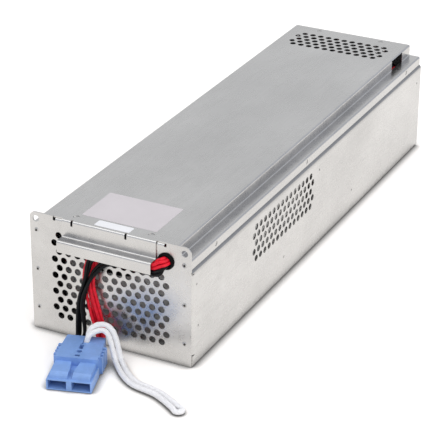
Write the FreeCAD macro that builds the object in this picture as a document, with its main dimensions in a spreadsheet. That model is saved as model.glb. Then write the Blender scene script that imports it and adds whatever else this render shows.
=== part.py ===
import FreeCAD, Part
import math
import os
import Sketcher
from FreeCAD import Placement, Rotation, Vector

# A rack battery cartridge: a folded steel tray with a screwed-down cover, eight sealed batteries in a
# row, and a lead set that leaves through a grommet to a two-pole power connector.
# Frame: +X across the front, +Y from the front to the rear, +Z up. The origin is the middle of the
# tray's underside. Inside the script every depth is counted back from the front panel's outer face,
# and each sub-part's Placement moves it to the frame.

doc = FreeCAD.newDocument("battery_cartridge")
sizes = doc.addObject("Spreadsheet::Sheet", "sizes")

DIMENSIONS = [
    ("case_width", 171.0, "tray, outside of the side walls"),
    ("case_length", 569.0, "front panel's face to the tray's rear edge"),
    ("case_height", 122.5, "base to the top of the cover"),
    ("sheet", 1.2, "steel sheet thickness"),
    ("bend_radius", 1.0, "inside radius of each fold"),
    ("fit_gap", 0.1, "gap where one sheet lies on another"),
    ("relief", 1.0, "bend relief slits"),
    ("front_return", 15.0, "tray's inward flanges behind the front panel"),
    ("floor_return", 11.4, "tray's upturned flange at the front"),
    ("panel_inset", 0.9, "front panel's edge inside the tray's side"),
    ("ear_rise", 0.5, "front panel's ears above the cover"),
    ("ear_radius", 6.0, "front panel's top corners"),
    ("foot_radius", 1.8, "front panel's lower corners"),
    ("panel_flange", 14.0, "front panel's flange under the cover"),
    ("rear_flange", 12.0, "rear panel's flanges"),
    ("flange_margin", 10.3, "handle's end to the far side of the notch"),
    ("notch", 2.4, "width of the notches beside the front flange"),
    ("notch_depth", 3.9, "depth of those notches below the cover's top"),
    ("skirt_inset", 1.1, "cover's skirt inside the tray's side"),
    ("ledge_width", 12.8, "ledges along the cover"),
    ("ledge_drop", 12.1, "ledges below the cover's top"),
    ("skirt_drop", 9.4, "skirts below the ledges"),
    ("skirt_gap", 3.5, "skirts' edge to the top of the tray's plain wall"),
    ("cover_inset", 2.6, "cover's rear edge to the tray's rear edge"),
    ("cover_front", 1.4, "cover's front edge behind the panel's face"),
    ("handle_width", 98.4, "handle folded from the cover"),
    ("shelf_drop", 17.5, "handle's shelf below the cover's top"),
    ("handle_reach", 11.8, "panel's face to the handle's outer face"),
    ("lip_height", 11.6, "handle's lip"),
    ("slot_width", 2.2, "locating slots in the cover's front fold"),
    ("slot_height", 5.2, "the same"),
    ("slot_left", 38.9, "left slot from the middle"),
    ("slot_right", 17.9, "right slot from the middle"),
    ("side_slot_inset", 26.5, "openings in the crown's sides, to the rear edge"),
    ("side_slot_length", 31.0, "the same"),
    ("vent_pitch", 9.8, "hole to hole in every vent"),
    ("vent_hole", 6.7, "diameter of the vent holes"),
    ("front_vent_drop", 18.4, "front vent's top row below the cover's top"),
    ("side_vent_front", 129.4, "first column of the side vents"),
    ("side_vent_drop", 11.7, "top row of the side vents below the wall's top"),
    ("top_vent_inset", 26.0, "rear row of the cover's vent to the rear edge"),
    ("mount_inset", 7.5, "holes in the panel's ears, to the tray's side"),
    ("mount_drop", 6.3, "the same, below the cover's top"),
    ("mount_hole", 6.6, "the same, diameter"),
    ("rivet_inset", 7.6, "front rivets to the tray's side"),
    ("rivet_low", 23.0, "lowest front rivets"),
    ("rivet_step", 40.7, "front rivets, one above the other"),
    ("rivet_shank", 3.2, "rivet body diameter"),
    ("rivet_head", 5.2, "rivet head diameter"),
    ("rivet_dome", 0.5, "rivet head height"),
    ("dimple", 5.0, "clinched joints, diameter"),
    ("top_dimple", 6.4, "clinched joints on the cover's top"),
    ("dimple_depth", 0.5, "clinched joints, depth"),
    ("grommet_inset", 26.6, "cable outlet to the tray's side"),
    ("grommet_drop", 18.0, "cable outlet below the cover's top"),
    ("grommet_hole", 14.2, "hole in the panel"),
    ("grommet_outer", 16.8, "grommet's flanges"),
    ("grommet_bore", 12.0, "grommet's bore"),
    ("grommet_flange", 2.5, "thickness of each flange"),
    ("front_space", 43.4, "panel's face to the first battery"),
    ("head_room", 26.8, "batteries' lids below the cover's top"),
    ("side_pad", 8.3, "foam strips beside the batteries"),
    ("side_pad_height", 30.0, "the same, height"),
    ("rear_pad", 2.0, "foam behind the last battery"),
    ("battery_lid", 8.0, "height of the batteries' lids"),
    ("battery_gap", 0.3, "between batteries"),
    ("battery_round", 2.5, "batteries' upright edges"),
    ("lid_step", 1.2, "lid inside the case"),
    ("strip_inset", 12.5, "vent strip inside the lid"),
    ("strip_height", 1.5, "vent strip above the lid"),
    ("liner", 0.5, "insulating sheet"),
    ("liner_side", 22.0, "height of its sides"),
    ("stop_height", 9.0, "battery stop's upright"),
    ("stop_foot", 18.0, "battery stop's foot"),
    ("stop_inset", 13.5, "battery stop's ends to the tray's side"),
    ("tab_width", 6.35, "battery terminal tabs"),
    ("tab_thickness", 0.8, "the same"),
    ("tab_height", 6.6, "the same"),
    ("tab_inset", 7.0, "battery's end to its tab"),
    ("wire", 3.2, "outside of each lead"),
    ("wire_pitch", 3.3, "lead to lead in the bundle"),
    ("ribbon_rise", 9.0, "leads above the batteries' lids"),
    ("ribbon_inset", 29.5, "ribbon's first lead to the tray's side"),
    ("plug_width", 42.0, "connector"),
    ("plug_length", 69.0, "connector"),
    ("plug_height", 18.4, "connector's rear block"),
    ("plug_taper", 2.6, "how much narrower each side is at the rear"),
    ("plug_nose", 28.0, "length of its mating end"),
    ("nose_height", 10.4, "height of its mating end"),
    ("nose_wall", 1.3, "sides and floor of the mating cavities"),
    ("nose_roof", 0.7, "roof of the mating cavities"),
    ("nose_post", 5.0, "post between the mating cavities"),
    ("pad_height", 14.6, "top of the pads on the mating end"),
    ("plug_across", 5.8, "middle of the connector's mouth"),
    ("plug_ahead", 87.2, "the mouth ahead of the panel's face"),
    ("plug_turn", 16.5, "connector's turn, degrees"),
    ("pole_spacing", 20.6, "connector's two poles"),
    ("cable_entry", 10.4, "connector's rear holes"),
    ("eye_across", 2.1, "lanyard's hole from the connector's middle"),
    ("eye_inset", 6.8, "lanyard's hole to the connector's rear"),
    ("blade_width", 9.0, "contact blades"),
    ("blade_inset", 12.0, "contact blades behind the mouth"),
    ("lanyard", 5.4, "braided cord"),
]

for row, (alias, value, note) in enumerate(DIMENSIONS, start=1):
    sizes.set("A%d" % row, alias)
    sizes.set("B%d" % row, str(value))
    sizes.set("C%d" % row, note)
    sizes.setAlias("B%d" % row, alias)
doc.recompute()

BATTERY_COUNT = 8
FRONT_ROWS = 11
FRONT_COLUMNS = 13
SIDE_ROWS = 5
SIDE_COLUMNS = 15
TOP_ROWS = 5
TOP_COLUMNS = 12
ROW = "sizes.vent_pitch * sqrt(3) / 2"

parts = {}


def size(text):
    """Value of an expression over the sheet, such as sizes.case_width / 2."""
    return float(sizes.evalExpression(text))


def keep(name, sub_part):
    """Registers a finished sub-part under the name of its node."""
    sub_part.Label = name
    parts[name] = sub_part
    return sub_part


def new_body(name):
    """A body whose depths count back from the front panel's face."""
    body = doc.addObject("PartDesign::Body", name)
    body.setExpression("Placement.Base.y", "-sizes.case_length / 2")
    return keep(name, body)


def new_sketch(body, name, plane, offset="0"):
    """A sketch on one of the body's own origin planes, shifted along its normal."""
    sketch = body.newObject("Sketcher::SketchObject", name)
    support = [item for item in body.Origin.OriginFeatures if item.Role == plane][0]
    sketch.AttachmentSupport = (support, [""])
    sketch.MapMode = "FlatFace"
    if offset != "0":
        sketch.setExpression("AttachmentOffset.Base.z", offset)
    return sketch


def pin(sketch, geometry, point, across, along):
    """Ties one point of a sketch to two expressions, measured from the sketch's origin."""
    for kind, axis, text in (("DistanceX", -2, across), ("DistanceY", -1, along)):
        if text == "0":
            sketch.addConstraint(Sketcher.Constraint("PointOnObject", geometry, point, axis))
            continue
        index = sketch.addConstraint(Sketcher.Constraint(kind, -1, 1, geometry, point, size(text)))
        sketch.setExpression("Constraints[%d]" % index, text)


def outline(sketch, corners):
    """Adds a closed outline of straight lines, each corner a pair of expressions."""
    first = sketch.GeometryCount
    count = len(corners)
    points = [Vector(size(across), size(along), 0) for across, along in corners]
    for i in range(count):
        sketch.addGeometry(Part.LineSegment(points[i], points[(i + 1) % count]), False)
    for i in range(count):
        sketch.addConstraint(Sketcher.Constraint("Coincident", first + i, 2, first + (i + 1) % count, 1))
        pin(sketch, first + i, 1, *corners[i])


def box_outline(sketch, left, right, low, high):
    """Adds a rectangle between four expressions."""
    outline(sketch, [(left, low), (right, low), (right, high), (left, high)])


def circle(sketch, across, along, diameter):
    """Adds a circle whose centre and diameter are expressions."""
    centre = Vector(size(across), size(along), 0)
    index = sketch.addGeometry(Part.Circle(centre, Vector(0, 0, 1), size(diameter) / 2), False)
    pin(sketch, index, 3, across, along)
    ring = sketch.addConstraint(Sketcher.Constraint("Diameter", index, size(diameter)))
    sketch.setExpression("Constraints[%d]" % ring, diameter)


def pad(body, sketch, name, length, reverse=False, both=False):
    """Pads a sketch by an expression."""
    feature = body.newObject("PartDesign::Pad", name)
    feature.Profile = sketch
    feature.setExpression("Length", length)
    feature.Reversed = reverse
    feature.Midplane = both
    doc.recompute()
    return feature


def pocket(body, sketch, name, depth=None, reverse=False):
    """Cuts a sketch to a depth, or right through both ways."""
    before = body.Shape.Volume
    feature = body.newObject("PartDesign::Pocket", name)
    feature.Profile = sketch
    if depth is None:
        feature.Type = "ThroughAll"
        feature.Midplane = True
    else:
        feature.setExpression("Length", depth)
        feature.Reversed = reverse
    doc.recompute()
    if not feature.Shape.Volume < before - 1e-4:
        raise RuntimeError("%s cut nothing" % name)
    return feature


def pattern(body, feature, sketch, name, columns, rows=1, row_pitch=None):
    """Repeats a pocket across its sketch by the vent's pitch, and down it by row_pitch."""
    repeat = body.newObject("PartDesign::LinearPattern", name)
    repeat.Originals = [feature]
    repeat.Direction = (sketch, ["H_Axis"])
    repeat.Mode = "Spacing"
    repeat.setExpression("Offset", "sizes.vent_pitch")
    repeat.Occurrences = columns
    if rows > 1:
        repeat.Direction2 = (sketch, ["V_Axis"])
        repeat.Reversed2 = True
        repeat.Mode2 = "Spacing"
        repeat.setExpression("Offset2", row_pitch)
        repeat.Occurrences2 = rows
        # -1 keeps the common spacing between two rows.
        repeat.Spacings2 = [-1.0] * (rows - 1)
    body.Tip = repeat
    doc.recompute()
    return repeat


def fillet(body, name, radius, chosen):
    """Rounds the edges of the body's last feature that the test picks."""
    base = body.Tip
    names = ["Edge%d" % (i + 1) for i, edge in enumerate(base.Shape.Edges) if chosen(edge)]
    if not names:
        raise RuntimeError("%s finds no edge" % name)
    feature = body.newObject("PartDesign::Fillet", name)
    feature.Base = (base, names)
    feature.setExpression("Radius", radius)
    doc.recompute()
    if feature.Shape.isNull() or not feature.isValid():
        raise RuntimeError("%s failed on %s" % (name, names))
    return feature


def runs_along(edge, axis):
    """True for a straight edge parallel to an axis."""
    if edge.Curve.TypeId != "Part::GeomLine":
        return False
    return abs(abs(edge.Curve.Direction.dot(axis)) - 1) < 1e-6


def near(first, second):
    return abs(first - second) < 1e-3


X_AXIS = Vector(1, 0, 0)
Y_AXIS = Vector(0, 1, 0)
Z_AXIS = Vector(0, 0, 1)


def bends(body, name, corners, axis, spot):
    """Rounds the folds of a padded strip: the outside by bend_radius + sheet, the inside by bend_radius.

    The two ends of the strip, where a side is one sheet thick, stay square.
    """
    points = [(size(across), size(along)) for across, along in corners]
    count = len(points)
    area = sum(points[i][0] * points[(i + 1) % count][1] - points[(i + 1) % count][0] * points[i][1]
               for i in range(count))
    outside, inside = [], []
    for i, (across, along) in enumerate(points):
        last, following = points[i - 1], points[(i + 1) % count]
        back = (across - last[0], along - last[1])
        ahead = (following[0] - across, following[1] - along)
        if min(math.hypot(*back), math.hypot(*ahead)) < 1.01 * size("sizes.sheet"):
            continue
        turn = (back[0] * ahead[1] - back[1] * ahead[0]) * area
        (outside if turn > 0 else inside).append((across, along))

    def at(places):
        return lambda edge: runs_along(edge, axis) and any(
            near(spot(edge)[0], a) and near(spot(edge)[1], b) for a, b in places)

    fillet(body, name + "_outside", "sizes.bend_radius + sizes.sheet", at(outside))
    fillet(body, name + "_inside", "sizes.bend_radius", at(inside))


def across_and_up(edge):
    point = edge.Vertexes[0].Point
    return point.x, point.z


def back_and_up(edge):
    point = edge.Vertexes[0].Point
    return point.y, point.z


def mirrored(half):
    """Completes a half outline, listed from the left end to the middle and back to the same end."""
    outer, inner = half
    flip = lambda pair: ("-(%s)" % pair[0], pair[1])
    return outer + [flip(p) for p in reversed(outer)] + [flip(p) for p in inner] + list(reversed(inner))


# --- tray -------------------------------------------------------------------------------------------

HALF = "(sizes.case_width / 2)"
SHEET = "sizes.sheet"
SKIRT = "(%s - sizes.skirt_inset)" % HALF
CROWN = "(%s - sizes.ledge_width)" % SKIRT
LEDGE = "(sizes.case_height - sizes.ledge_drop)"
SKIRT_EDGE = "(%s - sizes.skirt_drop)" % LEDGE
WALL_TOP = "(%s - sizes.skirt_gap)" % SKIRT_EDGE
# The wall's top is set in by two sheets, so that the cover's skirt can drop over it.
RIM = "(%s - sizes.sheet - sizes.fit_gap)" % SKIRT
JOG_TOP = "(%s + %s - %s)" % (WALL_TOP, HALF, RIM)
RIM_TOP = "(%s - sizes.sheet - sizes.relief)" % LEDGE
MITRE = "sizes.sheet * (sqrt(2) - 1)"
RIVET_ACROSS = "(%s - sizes.rivet_inset)" % HALF


def make_tray():
    """Floor and side walls folded from one sheet, with returns behind the front panel."""
    body = new_body("tray")
    corners = mirrored((
        [("-%s" % RIM, RIM_TOP), ("-%s" % RIM, JOG_TOP), ("-%s" % HALF, WALL_TOP),
         ("-%s" % HALF, "0")],
        [("-(%s - sizes.sheet)" % RIM, RIM_TOP), ("-(%s - sizes.sheet)" % RIM, "%s - %s" % (JOG_TOP, MITRE)),
         ("-(%s - sizes.sheet)" % HALF, "%s - %s" % (WALL_TOP, MITRE)),
         ("-(%s - sizes.sheet)" % HALF, SHEET)]))
    section = new_sketch(body, "tray_section", "XZ_Plane", "-sizes.sheet")
    outline(section, corners)
    pad(body, section, "tray_channel", "sizes.case_length - sizes.sheet", reverse=True)
    bends(body, "tray_bends", corners, Y_AXIS, across_and_up)

    returns = new_sketch(body, "tray_return_outline", "XZ_Plane", "-sizes.sheet")
    low = "sizes.floor_return + sizes.relief"
    high = WALL_TOP + " - 2 * sizes.relief"
    box_outline(returns, "-%s" % HALF, "-(%s - sizes.front_return)" % HALF, low, high)
    box_outline(returns, "%s - sizes.front_return" % HALF, HALF, low, high)
    inner = "(%s - 3 * sizes.sheet)" % HALF
    box_outline(returns, "-%s" % inner, inner, "sizes.sheet / 2", "sizes.floor_return")
    pad(body, returns, "tray_returns", SHEET, reverse=True)

    slits = new_sketch(body, "tray_relief_outline", "YZ_Plane")
    reach = "sizes.sheet + 2 * sizes.bend_radius + sizes.sheet"
    box_outline(slits, "sizes.sheet / 2", reach, "sizes.floor_return", low)
    box_outline(slits, "sizes.sheet / 2", reach, high, WALL_TOP + " - sizes.relief")
    pocket(body, slits, "tray_relief")

    upright = lambda edge, x, y: (runs_along(edge, Z_AXIS) and near(abs(edge.Vertexes[0].X), x)
                                  and near(edge.Vertexes[0].Y, y)
                                  and near(edge.Length, size("%s - (%s)" % (high, low))))
    fillet(body, "tray_corner_outside", "sizes.bend_radius + sizes.sheet",
           lambda edge: upright(edge, size(HALF), size(SHEET)))
    fillet(body, "tray_corner_inside", "sizes.bend_radius",
           lambda edge: upright(edge, size(HALF + " - sizes.sheet"), size("2 * sizes.sheet")))

    for name, shift, columns, rows, first in (("tray_vent_long", "0", SIDE_COLUMNS, SIDE_ROWS // 2, 1),
                                              ("tray_vent_short", "0.5", SIDE_COLUMNS - 1,
                                               SIDE_ROWS - SIDE_ROWS // 2, 0)):
        holes = new_sketch(body, name + "_outline", "YZ_Plane")
        circle(holes, "sizes.side_vent_front + %s * sizes.vent_pitch" % shift,
               "%s - sizes.side_vent_drop - %d * %s" % (WALL_TOP, first, ROW), "sizes.vent_hole")
        pattern(body, pocket(body, holes, name), holes, name + "_rows", columns, rows, "2 * " + ROW)

    holes = new_sketch(body, "tray_rivet_outline", "XZ_Plane")
    for i in range(3):
        for side in ("-", ""):
            circle(holes, side + RIVET_ACROSS, "sizes.rivet_low + %d * sizes.rivet_step" % i,
                   "sizes.rivet_shank")
    pocket(body, holes, "tray_rivet_holes", "3 * sizes.sheet")

    # Spot welds of the battery stop and of the stiffeners, as shallow dimples in both walls.
    for side, reverse in (("right", False), ("left", True)):
        offset = HALF if side == "right" else "-" + HALF
        welds = new_sketch(body, "tray_weld_outline_" + side, "YZ_Plane", offset)
        for back, up in (("0.6 * sizes.front_return", WALL_TOP + " - 14"),
                         ("0.8 * sizes.front_return", "0.4 * " + WALL_TOP),
                         ("0.35 * sizes.case_length", "0.24 * " + WALL_TOP),
                         ("0.497 * sizes.case_length", WALL_TOP + " - 12.5"),
                         ("0.654 * sizes.case_length", "0.25 * " + WALL_TOP),
                         ("sizes.case_length - 0.9 * sizes.rear_flange", WALL_TOP + " - 16.5")):
            circle(welds, back, up, "sizes.dimple / 2")
        pocket(body, welds, "tray_welds_" + side, "sizes.dimple_depth", reverse)
    return body


# --- front panel ------------------------------------------------------------------------------------

UNDER_COVER = "(sizes.case_height - sizes.sheet - sizes.fit_gap)"
EARS = "(sizes.case_height + sizes.ear_rise)"
GROMMET_ACROSS = "(%s - sizes.grommet_inset)" % HALF
GROMMET_UP = "(sizes.case_height - sizes.grommet_drop)"


def make_front_panel():
    """Flat plate with two ears and a flange folded back under the cover."""
    body = new_body("front_panel")
    half = "(%s - sizes.panel_inset)" % HALF
    span = "(sizes.handle_width / 2 + sizes.flange_margin)"
    face = new_sketch(body, "panel_outline", "XZ_Plane")
    fold = "(%s - sizes.notch)" % span
    sill = "(sizes.case_height - sizes.notch_depth)"
    outline(face, [("-" + half, "0"), (half, "0"), (half, EARS),
                   (span, EARS), (span, sill), (fold, sill), (fold, UNDER_COVER),
                   ("-" + fold, UNDER_COVER), ("-" + fold, sill), ("-" + span, sill),
                   ("-" + span, EARS), ("-" + half, EARS)])
    pad(body, face, "panel_plate", SHEET, reverse=True)
    top = new_sketch(body, "panel_flange_outline", "XY_Plane", UNDER_COVER)
    box_outline(top, "-" + fold, fold, "0", "sizes.panel_flange")
    pad(body, top, "panel_fold", SHEET, reverse=True)
    fillet(body, "panel_fold_outside", "sizes.bend_radius + sizes.sheet",
           lambda edge: runs_along(edge, X_AXIS) and near(edge.Vertexes[0].Y, 0)
           and near(edge.Vertexes[0].Z, size(UNDER_COVER)))
    fillet(body, "panel_fold_inside", "sizes.bend_radius",
           lambda edge: runs_along(edge, X_AXIS) and near(edge.Vertexes[0].Y, size(SHEET))
           and near(edge.Vertexes[0].Z, size(UNDER_COVER + " - sizes.sheet")))
    fillet(body, "panel_ears", "sizes.ear_radius",
           lambda edge: runs_along(edge, Y_AXIS) and near(abs(edge.Vertexes[0].X), size(half))
           and near(edge.Vertexes[0].Z, size(EARS)))
    fillet(body, "panel_feet", "sizes.foot_radius",
           lambda edge: runs_along(edge, Y_AXIS) and near(abs(edge.Vertexes[0].X), size(half))
           and near(edge.Vertexes[0].Z, 0))

    holes = new_sketch(body, "panel_hole_outline", "XZ_Plane")
    for side in ("-", ""):
        circle(holes, "%s(%s - sizes.mount_inset)" % (side, HALF), "sizes.case_height - sizes.mount_drop",
               "sizes.mount_hole")
        for i in range(3):
            circle(holes, side + RIVET_ACROSS, "sizes.rivet_low + %d * sizes.rivet_step" % i,
                   "sizes.rivet_shank")
    circle(holes, GROMMET_ACROSS, GROMMET_UP, "sizes.grommet_hole")
    pocket(body, holes, "panel_holes", "sizes.sheet + 1")

    # Staggered vent. The two top rows stop short of the grommet.
    wide = "-%d * sizes.vent_pitch" % (FRONT_COLUMNS // 2)
    narrow = "-%s * sizes.vent_pitch" % (FRONT_COLUMNS / 2 - 1)
    for name, start, row, columns, rows in (
            ("panel_vent_top", narrow, 0, FRONT_COLUMNS - 3, 1),
            ("panel_vent_second", wide, 1, FRONT_COLUMNS - 2, 1),
            ("panel_vent_narrow", narrow, 2, FRONT_COLUMNS - 1, FRONT_ROWS // 2),
            ("panel_vent_wide", wide, 3, FRONT_COLUMNS, FRONT_ROWS // 2 - 1)):
        vent = new_sketch(body, name + "_outline", "XZ_Plane")
        circle(vent, start, "sizes.case_height - sizes.front_vent_drop - %d * %s" % (row, ROW),
               "sizes.vent_hole")
        pattern(body, pocket(body, vent, name, "sizes.sheet + 1"), vent, name + "_rows", columns, rows,
                "2 * " + ROW)
    cut_slots(body, "panel", "0")
    return body


def cut_slots(body, name, front):
    """Two locating slots through a front fold, the same in the panel and in the cover."""
    slots = new_sketch(body, name + "_slot_outline", "XZ_Plane", "-(%s)" % front)
    for middle in ("-sizes.slot_left", "sizes.slot_right"):
        box_outline(slots, middle + " - sizes.slot_width / 2", middle + " + sizes.slot_width / 2",
                    "sizes.case_height - sizes.slot_height", "sizes.case_height + 1")
    pocket(body, slots, name + "_slots", "2 * sizes.sheet + sizes.bend_radius")


# --- cover with its handle --------------------------------------------------------------------------

def make_top_cover():
    """Hat-section cover. Its front folds down over the panel and out again into a handle."""
    body = new_body("top_cover")
    skirt, crown = SKIRT, CROWN
    corners = mirrored((
        [("-" + skirt, SKIRT_EDGE), ("-" + skirt, LEDGE),
         ("-" + crown, LEDGE), ("-" + crown, "sizes.case_height")],
        [("-(%s - sizes.sheet)" % skirt, SKIRT_EDGE),
         ("-(%s - sizes.sheet)" % skirt, LEDGE + " - sizes.sheet"),
         ("-(%s - sizes.sheet)" % crown, LEDGE + " - sizes.sheet"),
         ("-(%s - sizes.sheet)" % crown, "sizes.case_height - sizes.sheet")]))
    section = new_sketch(body, "cover_section", "XZ_Plane", "-sizes.cover_front")
    outline(section, corners)
    pad(body, section, "cover_channel", "sizes.case_length - sizes.cover_inset - sizes.cover_front",
        reverse=True)
    bends(body, "cover_bends", corners, Y_AXIS, across_and_up)

    root = "sizes.cover_front + 4 * sizes.sheet"
    shelf = "(sizes.case_height - sizes.shelf_drop)"
    lip = shelf + " - sizes.lip_height"
    handle = [(root, "sizes.case_height"), ("-sizes.fit_gap - sizes.sheet", "sizes.case_height"),
              ("-sizes.fit_gap - sizes.sheet", shelf), ("-sizes.handle_reach", shelf),
              ("-sizes.handle_reach", lip), ("-sizes.handle_reach + sizes.sheet", lip),
              ("-sizes.handle_reach + sizes.sheet", shelf + " - sizes.sheet"),
              ("-sizes.fit_gap", shelf + " - sizes.sheet"),
              ("-sizes.fit_gap", "sizes.case_height - sizes.sheet"), (root, "sizes.case_height - sizes.sheet")]
    section = new_sketch(body, "handle_section", "YZ_Plane")
    outline(section, handle)
    pad(body, section, "handle", "sizes.handle_width", both=True)
    bends(body, "handle_bends", handle, X_AXIS, back_and_up)

    cut_slots(body, "cover", "-sizes.fit_gap - sizes.sheet")

    openings = new_sketch(body, "cover_side_outline", "YZ_Plane")
    rear = "(sizes.case_length - sizes.side_slot_inset)"
    box_outline(openings, rear + " - sizes.side_slot_length", rear, LEDGE, "sizes.case_height - sizes.sheet")
    pocket(body, openings, "cover_side_openings")

    for name, shift, columns, rows, first in (("cover_vent_long", "0", TOP_COLUMNS, TOP_ROWS // 2, 1),
                                              ("cover_vent_short", "0.5", TOP_COLUMNS - 1,
                                               TOP_ROWS - TOP_ROWS // 2, 0)):
        holes = new_sketch(body, name + "_outline", "XY_Plane", "sizes.case_height")
        circle(holes, "(%s - %s) * sizes.vent_pitch" % (shift, (TOP_COLUMNS - 1) / 2),
               "sizes.case_length - sizes.top_vent_inset - %d * %s" % (first, ROW), "sizes.vent_hole")
        pattern(body, pocket(body, holes, name, "2 * sizes.sheet"), holes, name + "_rows", columns, rows,
                "2 * " + ROW)

    for side, reverse in (("right", False), ("left", True)):
        offset = skirt if side == "right" else "-" + skirt
        clinches = new_sketch(body, "cover_clinch_outline_" + side, "YZ_Plane", offset)
        for back in ("50", "0.444 * sizes.case_length", "sizes.case_length - 45"):
            circle(clinches, back, "(%s + %s) / 2" % (SKIRT_EDGE, LEDGE), "sizes.dimple")
        pocket(body, clinches, "cover_clinches_" + side, "sizes.dimple_depth", reverse)
    clinches = new_sketch(body, "cover_top_clinch_outline", "XY_Plane", "sizes.case_height")
    for side in ("-", ""):
        circle(clinches, side + "0.4 * sizes.handle_width", "0.64 * sizes.panel_flange", "sizes.top_dimple")
        circle(clinches, side + "0.39 * sizes.handle_width",
               "sizes.case_length - sizes.panel_flange / 2 - sizes.cover_inset", "sizes.dimple")
    pocket(body, clinches, "cover_top_clinches", "sizes.dimple_depth")
    return body


# --- rear panel -------------------------------------------------------------------------------------

REAR_FACE = "(sizes.case_length - 0.3 - sizes.sheet)"


def make_rear_panel():
    """Plain plate between the side walls, with flanges along them and under the cover."""
    body = new_body("rear_panel")
    half = "(sizes.case_width / 2 - sizes.sheet - sizes.fit_gap)"
    neck = "(%s - sizes.sheet - sizes.fit_gap)" % RIM
    crown = "(%s - sizes.sheet - 2 * sizes.bend_radius)" % CROWN
    low = "(sizes.sheet + sizes.fit_gap)"
    shoulder = "(%s - sizes.sheet)" % WALL_TOP
    face = new_sketch(body, "rear_outline", "XZ_Plane", "-" + REAR_FACE)
    outline(face, [("-(%s - 2 * sizes.bend_radius)" % half, low), ("%s - 2 * sizes.bend_radius" % half, low),
                   (half, "%s + 2 * sizes.bend_radius" % low), (half, shoulder), (neck, shoulder),
                   (neck, RIM_TOP), (crown, RIM_TOP), (crown, UNDER_COVER), ("-" + crown, UNDER_COVER),
                   ("-" + crown, RIM_TOP), ("-" + neck, RIM_TOP), ("-" + neck, shoulder),
                   ("-" + half, shoulder), ("-" + half, "%s + 2 * sizes.bend_radius" % low)])
    pad(body, face, "rear_plate", SHEET, reverse=True)
    sides = new_sketch(body, "rear_flange_outline", "XY_Plane", "%s + 3 * sizes.sheet" % low)
    front = "%s - sizes.rear_flange" % REAR_FACE
    rear = "%s + sizes.sheet / 2" % REAR_FACE
    box_outline(sides, "-" + half, "-(%s - sizes.sheet)" % half, front, rear)
    box_outline(sides, "%s - sizes.sheet" % half, half, front, rear)
    pad(body, sides, "rear_side_flanges", "%s - 7 * sizes.sheet" % shoulder)
    top = new_sketch(body, "rear_top_outline", "XY_Plane", UNDER_COVER)
    box_outline(top, "-" + crown, crown, front, rear)
    pad(body, top, "rear_top_flange", SHEET, reverse=True)
    return body


# --- grommet and rivets -----------------------------------------------------------------------------

def make_grommet():
    """Rubber ring, turned about its bore, with a groove that takes the panel's edge."""
    body = new_body("cable_grommet")
    body.setExpression("Placement.Base.x", GROMMET_ACROSS)
    body.setExpression("Placement.Base.z", GROMMET_UP)
    section = new_sketch(body, "grommet_section", "YZ_Plane")
    bore = "sizes.grommet_bore / 2"
    outer = "sizes.grommet_outer / 2"
    groove = "sizes.grommet_hole / 2 - 0.05"
    slope = "sizes.grommet_flange / 3"
    outline(section, [("-sizes.grommet_flange", bore), ("-sizes.grommet_flange", outer + " - " + slope),
                      ("-" + slope, outer), ("-0.05", outer), ("-0.05", groove),
                      ("sizes.sheet + 0.05", groove), ("sizes.sheet + 0.05", outer),
                      ("sizes.sheet + " + slope, outer),
                      ("sizes.sheet + sizes.grommet_flange", outer + " - " + slope),
                      ("sizes.sheet + sizes.grommet_flange", bore)])
    ring = body.newObject("PartDesign::Revolution", "grommet_ring")
    ring.Profile = section
    ring.ReferenceAxis = (section, ["H_Axis"])
    ring.Angle = 360
    doc.recompute()
    return body


def make_rivets():
    """Six blind rivets with domed, hollow heads, through the panel and the tray's returns."""
    head = size("sizes.rivet_head / 2")
    shank = size("sizes.rivet_shank / 2") - 0.05
    dome = size("sizes.rivet_dome")
    grip = size("2 * sizes.sheet + sizes.fit_gap")
    bore = shank / 2.2
    rise = (head ** 2 + dome ** 2) / (2 * dome)
    crest = Vector((head + shank) / 2, -(math.sqrt(rise ** 2 - ((head + shank) / 2) ** 2) - rise + dome), 0)
    profile = Part.Wire([
        Part.makeLine(Vector(bore, -dome, 0), Vector(shank / 1.2, -dome, 0)),
        Part.Arc(Vector(shank / 1.2, -dome, 0), crest, Vector(head, 0, 0)).toShape(),
        Part.makeLine(Vector(head, 0, 0), Vector(shank, 0, 0)),
        Part.makeLine(Vector(shank, 0, 0), Vector(shank, grip, 0)),
        Part.makeLine(Vector(shank, grip, 0), Vector(1.35 * shank, grip + dome, 0)),
        Part.makeLine(Vector(1.35 * shank, grip + dome, 0), Vector(shank, grip + 3 * dome, 0)),
        Part.makeLine(Vector(shank, grip + 3 * dome, 0), Vector(bore, grip + 3 * dome, 0)),
        Part.makeLine(Vector(bore, grip + 3 * dome, 0), Vector(bore, -dome, 0))])
    rivet = Part.Face(profile).revolve(Vector(0, 0, 0), Y_AXIS, 360)
    placed = []
    for side in (-1, 1):
        for i in range(3):
            one = rivet.copy()
            one.translate(Vector(side * size(RIVET_ACROSS), 0,
                                 size("sizes.rivet_low + %d * sizes.rivet_step" % i)))
            placed.append(one)
    return built("panel_rivets", Part.Compound(placed))


def built(name, shape):
    """A sub-part whose shape is made here, placed as the bodies are."""
    feature = doc.addObject("Part::Feature", name)
    feature.Shape = shape
    feature.Placement = Placement(Vector(0, -size("sizes.case_length / 2"), 0), Rotation())
    return keep(name, feature)


# --- batteries and what holds them ------------------------------------------------------------------

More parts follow.
